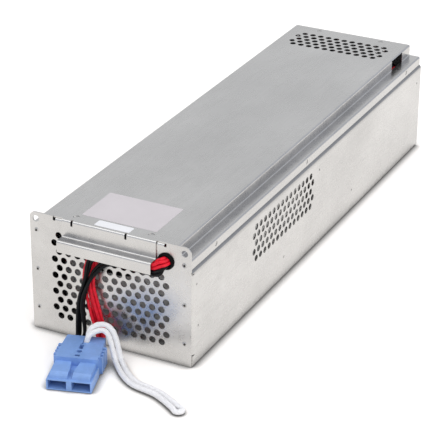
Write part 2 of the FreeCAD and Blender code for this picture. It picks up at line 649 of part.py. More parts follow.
# The eight blocks share the length behind the front space, and the width between the foam strips.
BATTERY_REAR = "(%s - sizes.rear_pad)" % REAR_FACE
BATTERY_FRONT = "sizes.front_space"
BATTERY_PITCH = "((%s - %s + sizes.battery_gap) / %d)" % (BATTERY_REAR, BATTERY_FRONT, BATTERY_COUNT)
BATTERY_DEPTH = "(%s - sizes.battery_gap)" % BATTERY_PITCH
BATTERY_END = "(%s - sizes.sheet - sizes.liner - sizes.side_pad)" % HALF
BATTERY_BASE = "(sizes.sheet + sizes.liner)"
LID_TOP = "(sizes.case_height - sizes.head_room)"
BATTERY_TALL = "(%s - %s)" % (LID_TOP, BATTERY_BASE)


def battery_middle(index):
    return "(%s + %d * %s + %s / 2)" % (BATTERY_FRONT, index, BATTERY_PITCH, BATTERY_DEPTH)


def make_battery(index):
    """One sealed block: case, stepped lid and the vent strip along the lid."""
    name = "battery_%d" % (index + 1)
    body = new_body(name)
    body.setExpression("Placement.Base.y", "%s - sizes.case_length / 2" % battery_middle(index))
    body.setExpression("Placement.Base.z", BATTERY_BASE)
    lid = "(%s - sizes.battery_lid)" % BATTERY_TALL
    strip = "(%s - sizes.strip_height)" % BATTERY_TALL
    for feature, base, top, inset in (("case", "0", lid, "0"), ("lid", lid, strip, "sizes.lid_step"),
                                      ("strip", strip, BATTERY_TALL, "sizes.strip_inset")):
        plan = new_sketch(body, "%s_%s_outline" % (name, feature), "XY_Plane", base)
        long_side = "(%s - %s)" % (BATTERY_END, inset)
        short_side = "(%s / 2 - %s)" % (BATTERY_DEPTH, inset)
        box_outline(plan, "-" + long_side, long_side, "-" + short_side, short_side)
        pad(body, plan, "%s_%s" % (name, feature), "%s - %s" % (top, base))
        if feature == "case":
            fillet(body, name + "_rounds", "sizes.battery_round", lambda edge: runs_along(edge, Z_AXIS))
    return body


def make_tabs():
    """Two upright tabs on each battery, at the ends of its lid."""
    width = size("sizes.tab_width")
    thickness = size("sizes.tab_thickness")
    reach = size(BATTERY_END + " - sizes.tab_inset")
    foot = size(LID_TOP + " - sizes.strip_height")
    for name, side in (("left_tabs", -1), ("right_tabs", 1)):
        tabs = []
        for index in range(BATTERY_COUNT):
            middle = size(battery_middle(index))
            blade = Part.makeBox(thickness, width, size("sizes.tab_height"),
                                 Vector(side * reach - thickness / 2, middle - width / 2, foot))
            base = Part.makeBox(width, width, thickness,
                                Vector(side * reach - width / 2, middle - width / 2, foot))
            tabs.append(blade.fuse(base).removeSplitter())
        built(name, Part.Compound(tabs))


def block(name, left, right, front, rear, low, high):
    """A plain block between six expressions."""
    solid = doc.addObject("Part::Box", name)
    solid.setExpression("Length", "(%s) - (%s)" % (right, left))
    solid.setExpression("Width", "(%s) - (%s)" % (rear, front))
    solid.setExpression("Height", "(%s) - (%s)" % (high, low))
    solid.setExpression("Placement.Base.x", left)
    solid.setExpression("Placement.Base.y", "(%s) - sizes.case_length / 2" % front)
    solid.setExpression("Placement.Base.z", low)
    return keep(name, solid)


def make_packing():
    """Foam at the rear and along both sides, which keeps the row of batteries tight."""
    end = BATTERY_END
    wall = "(%s - sizes.sheet - sizes.liner)" % HALF
    block("rear_pad", "-0.9 * " + end, "0.9 * " + end, BATTERY_REAR, REAR_FACE, BATTERY_BASE + " + 8",
          LID_TOP + " - 12")
    low = BATTERY_BASE + " + 4"
    high = "%s + sizes.side_pad_height" % low
    rear = "(%s - sizes.rear_flange - sizes.relief)" % REAR_FACE
    block("left_side_pad", "-" + wall, "-" + end, BATTERY_FRONT, rear, low, high)
    block("right_side_pad", end, wall, BATTERY_FRONT, rear, low, high)


def make_liner():
    """Insulating sheet under the batteries, folded up a little at both sides."""
    body = new_body("insulating_liner")
    wall = "(sizes.case_width / 2 - sizes.sheet)"
    inner = "(%s - sizes.liner)" % wall
    floor = "(sizes.sheet + sizes.liner)"
    # The fold clears the round inside the tray's corner.
    heel = "(%s - 2 * sizes.bend_radius)" % wall
    section = new_sketch(body, "liner_section", "XZ_Plane", "-" + BATTERY_FRONT)
    outline(section, [("-" + wall, "sizes.liner_side"), ("-" + wall, "sizes.sheet + 2 * sizes.bend_radius"),
                      ("-" + heel, SHEET), (heel, SHEET), (wall, "sizes.sheet + 2 * sizes.bend_radius"),
                      (wall, "sizes.liner_side"), (inner, "sizes.liner_side"),
                      (inner, "sizes.sheet + 2 * sizes.bend_radius + 0.2"), (heel + " - 0.2", floor),
                      ("-(%s - 0.2)" % heel, floor),
                      ("-" + inner, "sizes.sheet + 2 * sizes.bend_radius + 0.2"),
                      ("-" + inner, "sizes.liner_side")])
    pad(body, section, "liner_sheet", "%s - sizes.rear_flange - sizes.relief - %s" % (REAR_FACE, BATTERY_FRONT), reverse=True)
    return body


def make_stop():
    """Steel angle welded to the floor in front of the first battery."""
    body = new_body("battery_stop")
    half = "(%s - sizes.stop_inset)" % HALF
    rear = "(%s - sizes.fit_gap)" % BATTERY_FRONT
    section = new_sketch(body, "stop_section", "YZ_Plane")
    top = "(sizes.sheet + sizes.stop_height)"
    toe = "(%s - sizes.stop_foot)" % rear
    outline(section, [(toe, SHEET), (rear, SHEET), (rear, top), (rear + " - sizes.sheet", top),
                      (rear + " - sizes.sheet", "2 * sizes.sheet"), (toe, "2 * sizes.sheet")])
    pad(body, section, "stop_angle", "2 * " + half, both=True)
    return body


# --- leads ------------------------------------------------------------------------------------------

def tube(points, diameter, name):
    """A round tube along straight runs joined by tangent arcs, each as large as its runs allow."""
    path = [Vector(*point) for point in points]
    edges = []
    start = path[0]
    tightest = 1e9
    for last, corner, following in zip(path, path[1:], path[2:]):
        back = last - corner
        ahead = following - corner
        turn = math.pi - back.getAngle(ahead)
        run = min(back.Length, ahead.Length)
        radius = 0.45 * run / math.tan(turn / 2)
        tightest = min(tightest, radius)
        reach = 0.45 * run
        back.normalize()
        ahead.normalize()
        entry = corner + back * reach
        leave = corner + ahead * reach
        inward = back + ahead
        inward.normalize()
        middle = corner + inward * (radius / math.cos(turn / 2) - radius)
        edges.append(Part.makeLine(start, entry))
        edges.append(Part.Arc(entry, middle, leave).toShape())
        start = leave
    edges.append(Part.makeLine(start, path[-1]))
    spine = Part.Wire(edges)
    heading = path[1] - path[0]
    rim = Part.Wire([Part.makeCircle(diameter / 2, path[0], heading)])
    solid = spine.makePipeShell([rim], True, True)
    solid = solid if solid.ShapeType == "Solid" else Part.Solid(solid)
    if solid.Volume < 0:
        solid.reverse()
    expected = math.pi * diameter ** 2 / 4 * spine.Length
    print("%-16s length %7.1f  tightest radius %5.2f = %.1f diameters  volume ratio %.4f"
          % (name, spine.Length, tightest, tightest / diameter, solid.Volume / expected))
    return solid


# The eight leads leave the grommet as a ring, red above black, and run behind the handle as three rows.
# A station is the middle of the bundle, or of one colour's four, with the direction of its columns and
# of its rows; a lane is a lead's column and row there, counted in wire pitches.
RIGHT = (1, 0, 0)
FRONTWARD = (0.92, -0.38, 0)
FRONT_RIGHT = (0.7071, -0.7071, 0)
FRONT = (0, -1, 0)
UP = (0, 0, 1)
UP_BACK = (-0.25, 0.15, 0.95)
UP_LEFT = (-0.26, 0, 0.965)
LEFT = (-1, 0, 0)

RING = {"black_lead_4": (-1.27, 0), "red_lead_1": (-0.9, 0.9), "black_lead_1": (-0.9, -0.9),
        "red_lead_2": (0, 1.27), "black_lead_2": (0, -1.27), "red_lead_3": (0.9, 0.9),
        "black_lead_3": (0.9, -0.9), "red_lead_4": (1.27, 0)}
PAIRS = {"red_lead_1": (-0.5, 0.5), "red_lead_2": (-0.5, 1.5), "red_lead_3": (0.5, 1.5),
         "red_lead_4": (0.5, 0.5), "black_lead_4": (-0.5, -0.5), "black_lead_1": (-0.5, -1.5),
         "black_lead_2": (0.5, -1.5), "black_lead_3": (0.5, -0.5)}
BEND = {"red_lead_1": (-0.65, 0.6), "red_lead_2": (-0.5, 1.8), "red_lead_3": (0.6, 1.65),
        "red_lead_4": (0.7, 0.5), "black_lead_1": (-0.5, -1.75), "black_lead_2": (0.65, -1.75),
        "black_lead_3": (0.75, -0.6), "black_lead_4": (-0.65, -0.6)}
FOUR = {"red_lead_1": (-0.55, 0.55), "red_lead_2": (0.55, 0.55), "red_lead_3": (0.55, -0.55),
        "red_lead_4": (-0.55, -0.55), "black_lead_1": (-0.55, -0.55), "black_lead_2": (0.55, -0.55),
        "black_lead_3": (0.55, 0.55), "black_lead_4": (-0.55, 0.55)}

BEHIND_HANDLE = [
    ((58.9, -1.0, 104.5), RIGHT, UP, RING),
    ((58.9, -4.6, 104.4), FRONTWARD, UP, RING),
    ((56.6, -8.8, 101.9), FRONT_RIGHT, UP_BACK, BEND),
    ((51.4, -6.8, 96.9), FRONT, UP_LEFT, PAIRS),
    ((42.0, -5.4, 96.8), FRONT, UP, PAIRS),
    ((27.0, -5.2, 97.0), FRONT, UP, PAIRS),
    ((12.0, -5.4, 97.0), FRONT, UP, PAIRS),
]
# From there they drop in four pairs: the middle of a pair, and the way from it to its second lead,
# counted in wire pitches.
PAIR_OF = {"black_lead_1": ("right black", -1), "black_lead_2": ("right black", 1),
           "black_lead_4": ("left black", -1), "black_lead_3": ("left black", 1),
           "red_lead_1": ("left red", -1), "red_lead_2": ("left red", 1),
           "red_lead_4": ("right red", -1), "red_lead_3": ("right red", 1)}
DROPS = {
    "right black": [
        ((4.0, -6.4, 91.8), (0.1, -0.5, -0.1)), ((-2.6, -8.0, 89.8), (0.36, -0.2, -0.36)),
        ((-9.2, -10.4, 82.6), (0.4, -0.2, -0.3)), ((-13.9, -12.0, 74.4), (0.25, -0.45, -0.1)),
        ((-18.2, -12.2, 63.0), (0, -0.5, 0)), ((-21.7, -12.2, 53.0), (0, -0.5, 0)),
        ((-23.0, -12.2, 43.5), (0, -0.5, 0)), ((-22.2, -12.4, 33.0), (0.1, -0.5, 0)),
        ((-20.6, -12.8, 22.5), (0.2, -0.46, 0)), ((-20.2, -14.0, 14.9), (0.2, -0.44, 0.1)),
        ((-21.0, -17.6, 10.6), (0.1, -0.3, 0.42)),
    ],
    "left black": [
        ((4.8, -7.0, 95.9), (0, -0.36, 0.36)), ((-3.0, -8.7, 96.4), (0, 0, 0.5)),
        ((-9.5, -8.8, 96.0), (-0.1, 0, 0.5)), ((-15.0, -8.8, 92.4), (-0.42, 0, 0.28)),
        ((-17.0, -9.8, 85.8), (-0.32, -0.4, 0)), ((-17.8, -11.2, 78.0), (-0.1, -0.5, 0)),
        ((-19.6, -12.2, 70.0), (0, -0.5, 0)), ((-22.3, -12.2, 62.0), (0, -0.5, 0)),
        ((-25.4, -12.2, 52.5), (0, -0.5, 0)), ((-26.7, -12.2, 43.5), (0, -0.5, 0)),
        ((-27.2, -12.4, 33.0), (-0.1, -0.5, 0)), ((-27.2, -12.8, 22.5), (-0.2, -0.46, 0)),
        ((-26.6, -14.0, 14.9), (-0.2, -0.44, 0.1)), ((-25.6, -17.6, 10.6), (-0.1, -0.3, 0.42)),
    ],
    "left red": [
        ((4.0, -2.9, 100.3), (0, 0, 0.5)), ((-4.0, -2.4, 100.3), (0, 0, 0.5)),
        ((-11.5, -2.6, 98.6), (-0.22, 0, 0.46)), ((-17.5, -3.2, 93.0), (-0.42, 0, 0.3)),
        ((-20.8, -3.9, 84.5), (-0.5, 0, 0.1)), ((-22.8, -4.7, 75.0), (-0.54, 0, 0)),
        ((-22.6, -5.4, 65.5), (-0.5, -0.1, 0)), ((-20.3, -6.2, 55.6), (-0.45, -0.3, 0)),
        ((-17.6, -6.6, 44.0), (-0.35, -0.4, 0)), ((-14.7, -7.2, 32.9), (-0.2, -0.46, 0)),
        ((-10.6, -8.2, 22.3), (-0.1, -0.5, 0)), ((-7.4, -10.0, 14.2), (-0.15, -0.4, 0.3)),
        ((-5.6, -14.0, 10.2), (-0.2, -0.2, 0.45)),
    ],
    "right red": [
        ((4.0, -6.2, 100.4), (0, 0, 0.5)), ((-3.0, -5.4, 100.0), (-0.05, 0, 0.5)),
        ((-8.5, -5.1, 96.6), (-0.36, 0, 0.36)), ((-11.8, -5.2, 90.0), (-0.5, 0, 0.12)),
        ((-13.8, -5.2, 82.0), (-0.5, 0, 0)), ((-15.6, -5.7, 73.0), (-0.5, 0, 0)),
        ((-16.2, -6.2, 65.0), (-0.48, -0.1, 0)), ((-14.8, -6.2, 56.8), (-0.42, -0.3, 0)),
        ((-11.7, -6.2, 45.4), (-0.32, -0.4, 0)), ((-8.2, -6.8, 34.5), (-0.16, -0.48, 0)),
        ((-4.4, -7.8, 24.0), (-0.05, -0.5, 0)), ((-2.2, -9.6, 14.6), (0.05, -0.42, 0.28)),
        ((-2.4, -13.4, 10.2), (0.05, -0.2, 0.45)),
    ],
}


def at_plug(across, back, up):
    """A point given in the connector's own frame."""
    turn = math.radians(size("sizes.plug_turn"))
    return (size("sizes.plug_across") + across * math.cos(turn) - back * math.sin(turn),
            -size("sizes.plug_ahead") + across * math.sin(turn) + back * math.cos(turn), up)


def lead_points(name, pole):
    """Route of one lead through every station, ending in its barrel inside the connector."""
    pitch = size("sizes.wire_pitch")
    points = []
    for centre, column, row, lanes in BEHIND_HANDLE:
        across, up = lanes[name]
        points.append(Vector(*centre) + Vector(*column) * (pitch * across) + Vector(*row) * (pitch * up))
    pair, side = PAIR_OF[name]
    for centre, offset in DROPS[pair]:
        points.append(Vector(*centre) + Vector(*offset) * (pitch * side))
    up, across = FOUR[name]
    for inside in (1, 19):
        centre = at_plug(pole, size("sizes.plug_length") - inside, size("sizes.plug_height / 2"))
        points.append(Vector(*centre) + Vector(*UP) * (pitch * up) + Vector(*LEFT) * (pitch * across))
    return points


def make_free_leads():
    """Four red and four black leads, from the grommet's face to the connector's rear holes."""
    for colour, pole in (("red", 0.5), ("black", -0.5)):
        for number in range(1, 5):
            name = "%s_lead_%d" % (colour, number)
            built(name, tube(lead_points(name, pole * size("sizes.pole_spacing")), size("sizes.wire"), name))


# The lanyard is doubled: its two strands rise from the connector's eye, pass over the red leads and lie
# side by side on the floor to the turn at the end. A station is the middle between them, and the way
# to the outer strand, counted in cord diameters.
LANYARD = [
    ((-9.85, -26.95, 5.0), (-0.15, 0.505, 0)), ((-9.85, -26.95, 19.5), (-0.15, 0.505, 0)),
    ((-8.0, -24.8, 26.2), (-0.24, 0.42, 0.2)), ((-2.4, -19.9, 30.0), (-0.2, 0.3, 0.4)),
    ((4.0, -17.0, 30.2), (0.08, 0.33, 0.4)), ((9.9, -17.4, 26.4), (0.28, 0.32, 0.3)),
    ((14.2, -19.4, 19.0), (0.42, 0.28, 0.13)), ((17.8, -22.2, 11.0), (0.42, 0.3, 0.08)),
    ((22.4, -26.2, 4.8), (0.38, 0.36, 0.06)), ((29.8, -33.6, 2.8), (0.38, 0.36, 0)),
    ((40.0, -43.6, 2.8), (0.34, 0.4, 0)), ((53.6, -52.6, 2.8), (0.16, 0.49, 0)),
    ((67.0, -54.8, 2.8), (0.02, 0.53, 0)), ((79.0, -56.6, 2.8), (0.1, 0.52, 0)),
    ((92.0, -62.8, 2.8), (0.25, 0.46, 0)), ((104.5, -70.2, 2.8), (0.26, 0.46, 0)),
]
TURN = [(111.4, -70.8, 2.8), (114.8, -74.9, 2.8), (111.0, -78.0, 2.8)]


def make_lanyard():
    cord = size("sizes.lanyard")
    strands = [[Vector(*middle) + Vector(*offset) * (cord * side) for middle, offset in LANYARD]
               for side in (1, -1)]
    points = strands[0] + [Vector(*point) for point in TURN] + strands[1][::-1]
    built("lanyard_cord", tube(points, cord, "lanyard_cord"))


# Inside, the leads run in a flat ribbon above the left-hand tabs and fan out to their batteries. The
# front battery's lead comes first.
ORDER = ["black_lead_4", "red_lead_1", "black_lead_1", "red_lead_2", "black_lead_2", "red_lead_3",
         "black_lead_3", "red_lead_4"]


def make_harness():
    """Leads from the batteries' left-hand tabs to the grommet, and the links on the right-hand tabs."""
    diameter = size("sizes.wire")
    pitch = size("sizes.wire_pitch")
    tab_top = size(LID_TOP + " - sizes.strip_height") + size("sizes.tab_height")
    reach = size(BATTERY_END + " - sizes.tab_inset")
    ribbon = size(LID_TOP + " + sizes.ribbon_rise")
    front = size(BATTERY_FRONT)
    groups = {"red": [], "black": []}
    for index, name in enumerate(ORDER):
        lane = size("sizes.ribbon_inset - " + HALF) + pitch * index
        middle = size(battery_middle(index))
        column = size(GROMMET_ACROSS) + pitch * RING[name][0]
        level = size(GROMMET_UP) + pitch * RING[name][1]
        across = 12.0 + pitch * index
        points = [(-reach, middle, tab_top + 0.1), (-reach + 0.3, middle, tab_top + 4),
                  (-reach + 6.5, middle - 3, ribbon), (lane, middle - 14, ribbon + 0.2),
                  (lane, front + 8, ribbon), (lane + 0.3, front - 5, ribbon - 6),
                  (lane + 2, (front - 5 + across) / 2, ribbon - 14), (lane + 9, across, ribbon - 24),
                  (lane / 2, across + 0.1, ribbon - 32), (12, across, ribbon - 33),
                  (34, across + 0.1, ribbon - 21), (column - 15, across + 0.2, level - 4),
                  (column - 7, across, level), (column, across - 5, level + 0.02), (column, -0.7, level)]
        groups[name.split("_")[0]].append(tube(points, diameter, "inner lead %d" % (index + 1)))
    for colour, leads in groups.items():
        built(colour + "_harness", Part.Compound(leads))
    links = []
    for index in range(0, BATTERY_COUNT, 2):
        first = size(battery_middle(index))
        second = size(battery_middle(index + 1))
        points = [(reach, first, tab_top + 0.3), (reach, first + 1, tab_top + 6),
                  (reach - 1, (first + second) / 2, tab_top + 8), (reach, second - 1, tab_top + 6),
                  (reach, second, tab_top + 0.3)]
        links.append(tube(points, diameter, "link %d" % (index // 2 + 1)))
    built("series_links", Part.Compound(links))


# --- connector --------------------------------------------------------------------------------------

def place_on_plug(sub_part):
    """Stands a sub-part in the connector's own frame: its mouth at the origin, its rear along +Y."""
    sub_part.Placement = Placement(Vector(), Rotation(Z_AXIS, 1))
    sub_part.setExpression("Placement.Base.x", "sizes.plug_across")
    sub_part.setExpression("Placement.Base.y", "-sizes.plug_ahead - sizes.case_length / 2")
    sub_part.setExpression("Placement.Rotation.Angle", "sizes.plug_turn")


def make_plug():
    """Two-pole housing: a low mating end with two raised pads, and a taller block with grip ribs."""
    body = new_body("connector_housing")
    place_on_plug(body)
    half = "sizes.plug_width / 2"
    plan = new_sketch(body, "plug_nose_outline", "XY_Plane")
    box_outline(plan, "-" + half, half, "0", "sizes.plug_nose + 1")
    pad(body, plan, "plug_nose", "sizes.nose_height")
    plan = new_sketch(body, "plug_block_outline", "XY_Plane")
    rear = "(%s - sizes.plug_taper)" % half
    outline(plan, [("-" + half, "sizes.plug_nose"), (half, "sizes.plug_nose"), (rear, "sizes.plug_length"),
                   ("-" + rear, "sizes.plug_length")])
    pad(body, plan, "plug_block", "sizes.plug_height")
    grooves = new_sketch(body, "plug_groove_outline", "XY_Plane")
    for left, right in (("-%s - 1" % half, "-%s + 1.2" % half), (half + " - 1.2", half + " + 1")):
        box_outline(grooves, left, right, "sizes.plug_nose + 1.6", "sizes.plug_nose + 4.4")
    pocket(body, grooves, "plug_grooves", "sizes.plug_height + 1", reverse=True)
    fillet(body, "plug_corners", "1.2",
           lambda edge: runs_along(edge, Z_AXIS) and near(edge.Vertexes[0].Y, size("sizes.plug_length")))
    fillet(body, "plug_edges", "0.6",
           lambda edge: all(near(v.Z, size("sizes.plug_height")) for v in edge.Vertexes)
           and all(v.Y > size("sizes.plug_nose") + 4.5 for v in edge.Vertexes))

    pads = new_sketch(body, "plug_pad_outline", "YZ_Plane")
    outline(pads, [("3.0", "sizes.nose_height - 0.3"), ("4.2", "sizes.pad_height - 1.8"),
                   ("7.0", "sizes.pad_height - 1.2"), ("9.0", "sizes.pad_height"),
                   ("sizes.plug_nose + 0.5", "sizes.pad_height"),
                   ("sizes.plug_nose + 0.5", "sizes.nose_height - 0.3")])
    pad(body, pads, "plug_pads", "0.9 * sizes.plug_width", both=True)
    gap = new_sketch(body, "plug_gap_outline", "XY_Plane", "sizes.nose_height")
    narrow = "0.055 * sizes.plug_width"
    wide = "0.1 * sizes.plug_width"
    outline(gap, [("-" + narrow, "-1"), (narrow, "-1"), (narrow, "0.5 * sizes.plug_nose"),
                  (wide, "sizes.plug_nose"), ("-" + wide, "sizes.plug_nose"),
                  ("-" + narrow, "0.5 * sizes.plug_nose")])
    pocket(body, gap, "plug_gap", "sizes.plug_height", reverse=True)

    mouth = new_sketch(body, "plug_mouth_outline", "XZ_Plane")
    post = "sizes.nose_post / 2"
    for left, right in (("-(%s - sizes.nose_wall)" % half, "-" + post), (post, "%s - sizes.nose_wall" % half)):
        box_outline(mouth, left, right, "sizes.nose_wall", "sizes.nose_height - sizes.nose_roof")
    pocket(body, mouth, "plug_mouth", "0.85 * sizes.plug_nose")

    slit = new_sketch(body, "plug_slit_outline", "XZ_Plane", "-0.4 * sizes.plug_nose")
    for side in ("-", ""):
        middle = "(%ssizes.pole_spacing / 2)" % side
        box_outline(slit, middle + " - sizes.blade_width / 2 - 0.1", middle + " + sizes.blade_width / 2 + 0.1",
                    "2.9", "4.7")
    pocket(body, slit, "plug_slits", "0.5 * sizes.plug_length")

    entry = new_sketch(body, "plug_entry_outline", "XZ_Plane", "-sizes.plug_length")
    for side in ("-", ""):
        circle(entry, side + "sizes.pole_spacing / 2", "sizes.plug_height / 2", "sizes.cable_entry")
    pocket(body, entry, "plug_entries", "0.5 * sizes.plug_length", reverse=True)

    top = new_sketch(body, "plug_top_outline", "XY_Plane", "sizes.plug_height")
    box_outline(top, "-1.9", "1.9", "45.0", "52.4")
    circle(top, "0", "40.5", "5.2")
    box_outline(top, "-2.2", "2.2", "31.5", "34.5")
    circle(top, "-0.4", "54.7", "2.2")
    pocket(body, top, "plug_top_holes", "0.4 * sizes.plug_height")
    # The lanyard's eye: its two strands stand in it one behind the other.
    eye = new_sketch(body, "plug_eye_outline", "XY_Plane")
    box_outline(eye, "sizes.eye_across - sizes.lanyard / 2 - 0.3", "sizes.eye_across + sizes.lanyard / 2 + 0.3",
                "sizes.plug_length - sizes.eye_inset - 1.05 * sizes.lanyard",
                "sizes.plug_length - sizes.eye_inset + 1.05 * sizes.lanyard")
    pocket(body, eye, "plug_eye")

    ribs = new_sketch(body, "plug_rib_outline", "XY_Plane")
    lean = "0.37 * sizes.plug_taper"
    for i in range(4):
        start = "%s * sizes.plug_length" % (0.50 + 0.08 * i)
        for left, right in (("-(%s + 1.8)" % half, "-(%s - %s - 1)" % (half, lean)),
                            ("%s - %s - 1" % (half, lean), half + " + 1.8")):
            box_outline(ribs, left, right, start, start + " + 0.045 * sizes.plug_length")
    pad(body, ribs, "plug_ribs", "0.92 * sizes.plug_height")
    return body


def make_contacts():
    """A crimped barrel with its blade for each pole, and the leaf spring under each blade."""
    level = size("sizes.plug_height / 2")
    rear = size("0.5 * sizes.plug_length")
    barrel = size("sizes.cable_entry / 2") - 0.1
    tip = size("sizes.blade_inset")
    deep = size("0.85 * sizes.plug_nose")
    width = size("sizes.blade_width")
    for name, side in (("left", -1), ("right", 1)):
        across = side * size("sizes.pole_spacing / 2")
        crimp = Part.makeCylinder(barrel, 22, Vector(across, rear + 3, level), Y_AXIS)
        cup = Part.makeCylinder(barrel - 0.8, 16, Vector(across, rear + 9, level), Y_AXIS)
        blade = Part.makeBox(width, rear + 4 - tip, 1.6, Vector(across - width / 2, tip, 3.0))
        on_plug(name + "_contact", crimp.cut(cup).fuse(blade).removeSplitter())
        leaf = Part.makeBox(0.7 * width, deep - tip - 2, 0.6, Vector(across - 0.35 * width, tip + 2, 2.4))
        floor = size("sizes.nose_wall")
        foot = Part.makeBox(0.7 * width, 4, 2.5 - floor, Vector(across - 0.35 * width, deep - 4.1, floor))
        on_plug(name + "_spring", leaf.fuse(foot).removeSplitter())


def on_plug(name, shape):
    feature = doc.addObject("Part::Feature", name)
    feature.Shape = shape
    feature.Placement = Placement(Vector(*at_plug(0, 0, 0)) - Vector(0, size("sizes.case_length / 2"), 0),
                                  Rotation(Z_AXIS, size("sizes.plug_turn")))
    return keep(name, feature)


make_tray()
make_front_panel()
make_top_cover()
make_rear_panel()
make_grommet()
make_rivets()
for number in range(BATTERY_COUNT):
    make_battery(number)
make_tabs()
make_packing()
make_liner()
make_stop()
make_harness()
make_free_leads()
make_lanyard()
make_plug()
make_contacts()

doc.recompute()
for item in doc.Objects:
    if "Invalid" in item.State or "Error" in item.State:
        raise RuntimeError("%s failed: %s" % (item.Label, item.State))
for name, item in parts.items():
    if item.Shape.isNull() or not item.Shape.isValid() or not item.Shape.Solids:
        raise RuntimeError("%s has no valid shape" % name)

os.makedirs("parts", exist_ok=True)
for name, item in parts.items():
    item.Shape.exportStep("parts/%s.step" % name)
print("%d sub-parts" % len(parts))
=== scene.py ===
import math

import bmesh
import bpy
from mathutils import Matrix, Vector


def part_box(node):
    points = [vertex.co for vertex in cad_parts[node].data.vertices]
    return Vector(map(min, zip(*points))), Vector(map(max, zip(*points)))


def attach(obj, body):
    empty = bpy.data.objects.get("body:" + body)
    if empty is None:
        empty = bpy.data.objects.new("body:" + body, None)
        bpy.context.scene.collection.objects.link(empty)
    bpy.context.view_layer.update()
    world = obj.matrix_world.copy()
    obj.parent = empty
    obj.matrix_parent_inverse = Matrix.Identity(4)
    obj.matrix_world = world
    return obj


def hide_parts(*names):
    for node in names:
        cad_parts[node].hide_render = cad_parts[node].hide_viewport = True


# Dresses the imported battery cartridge: metal, plastic and rubber finishes, blank labels, the lead set
# and the lanyard, a pale floor and soft studio light. Lengths are in metres; MM turns millimetres into
# metres, and FACE is the front panel's outer face, from which the routes' depths are counted.
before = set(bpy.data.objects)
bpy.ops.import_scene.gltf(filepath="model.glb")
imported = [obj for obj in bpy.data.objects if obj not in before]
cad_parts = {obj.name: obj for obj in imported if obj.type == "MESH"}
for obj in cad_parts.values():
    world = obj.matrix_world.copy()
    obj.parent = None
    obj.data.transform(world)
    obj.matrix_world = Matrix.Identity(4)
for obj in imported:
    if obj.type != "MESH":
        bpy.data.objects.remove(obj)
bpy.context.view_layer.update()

MM = 0.001
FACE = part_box("front_panel")[0][1]
COVER_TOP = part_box("top_cover")[1][2]
SKIRT_EDGE = COVER_TOP - 21.5 * MM
BATTERY_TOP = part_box("battery_1")[1][2]
# How far below the skirt's edge the painted shade in the step under it starts and is at its full, and
# the same of the battery's lid.
SHADE_BELOW_SKIRT = (4.0 * MM, 2.6 * MM)
LID_BELOW_TOP = (13 * MM, 12 * MM)


def from_face(across, back, up):
    """A point in millimetres, its depth counted back from the front panel's face."""
    return Vector((across * MM, FACE + back * MM, up * MM))


# --- materials --------------------------------------------------------------------------------------

def socket(node, *names):
    """The first of a node's inputs that has one of these names."""
    return next(node.inputs[name] for name in names if name in node.inputs)


# The part of a noise's range in which nearly all of its values lie.
NOISE_SPAN = (0.3, 0.7)


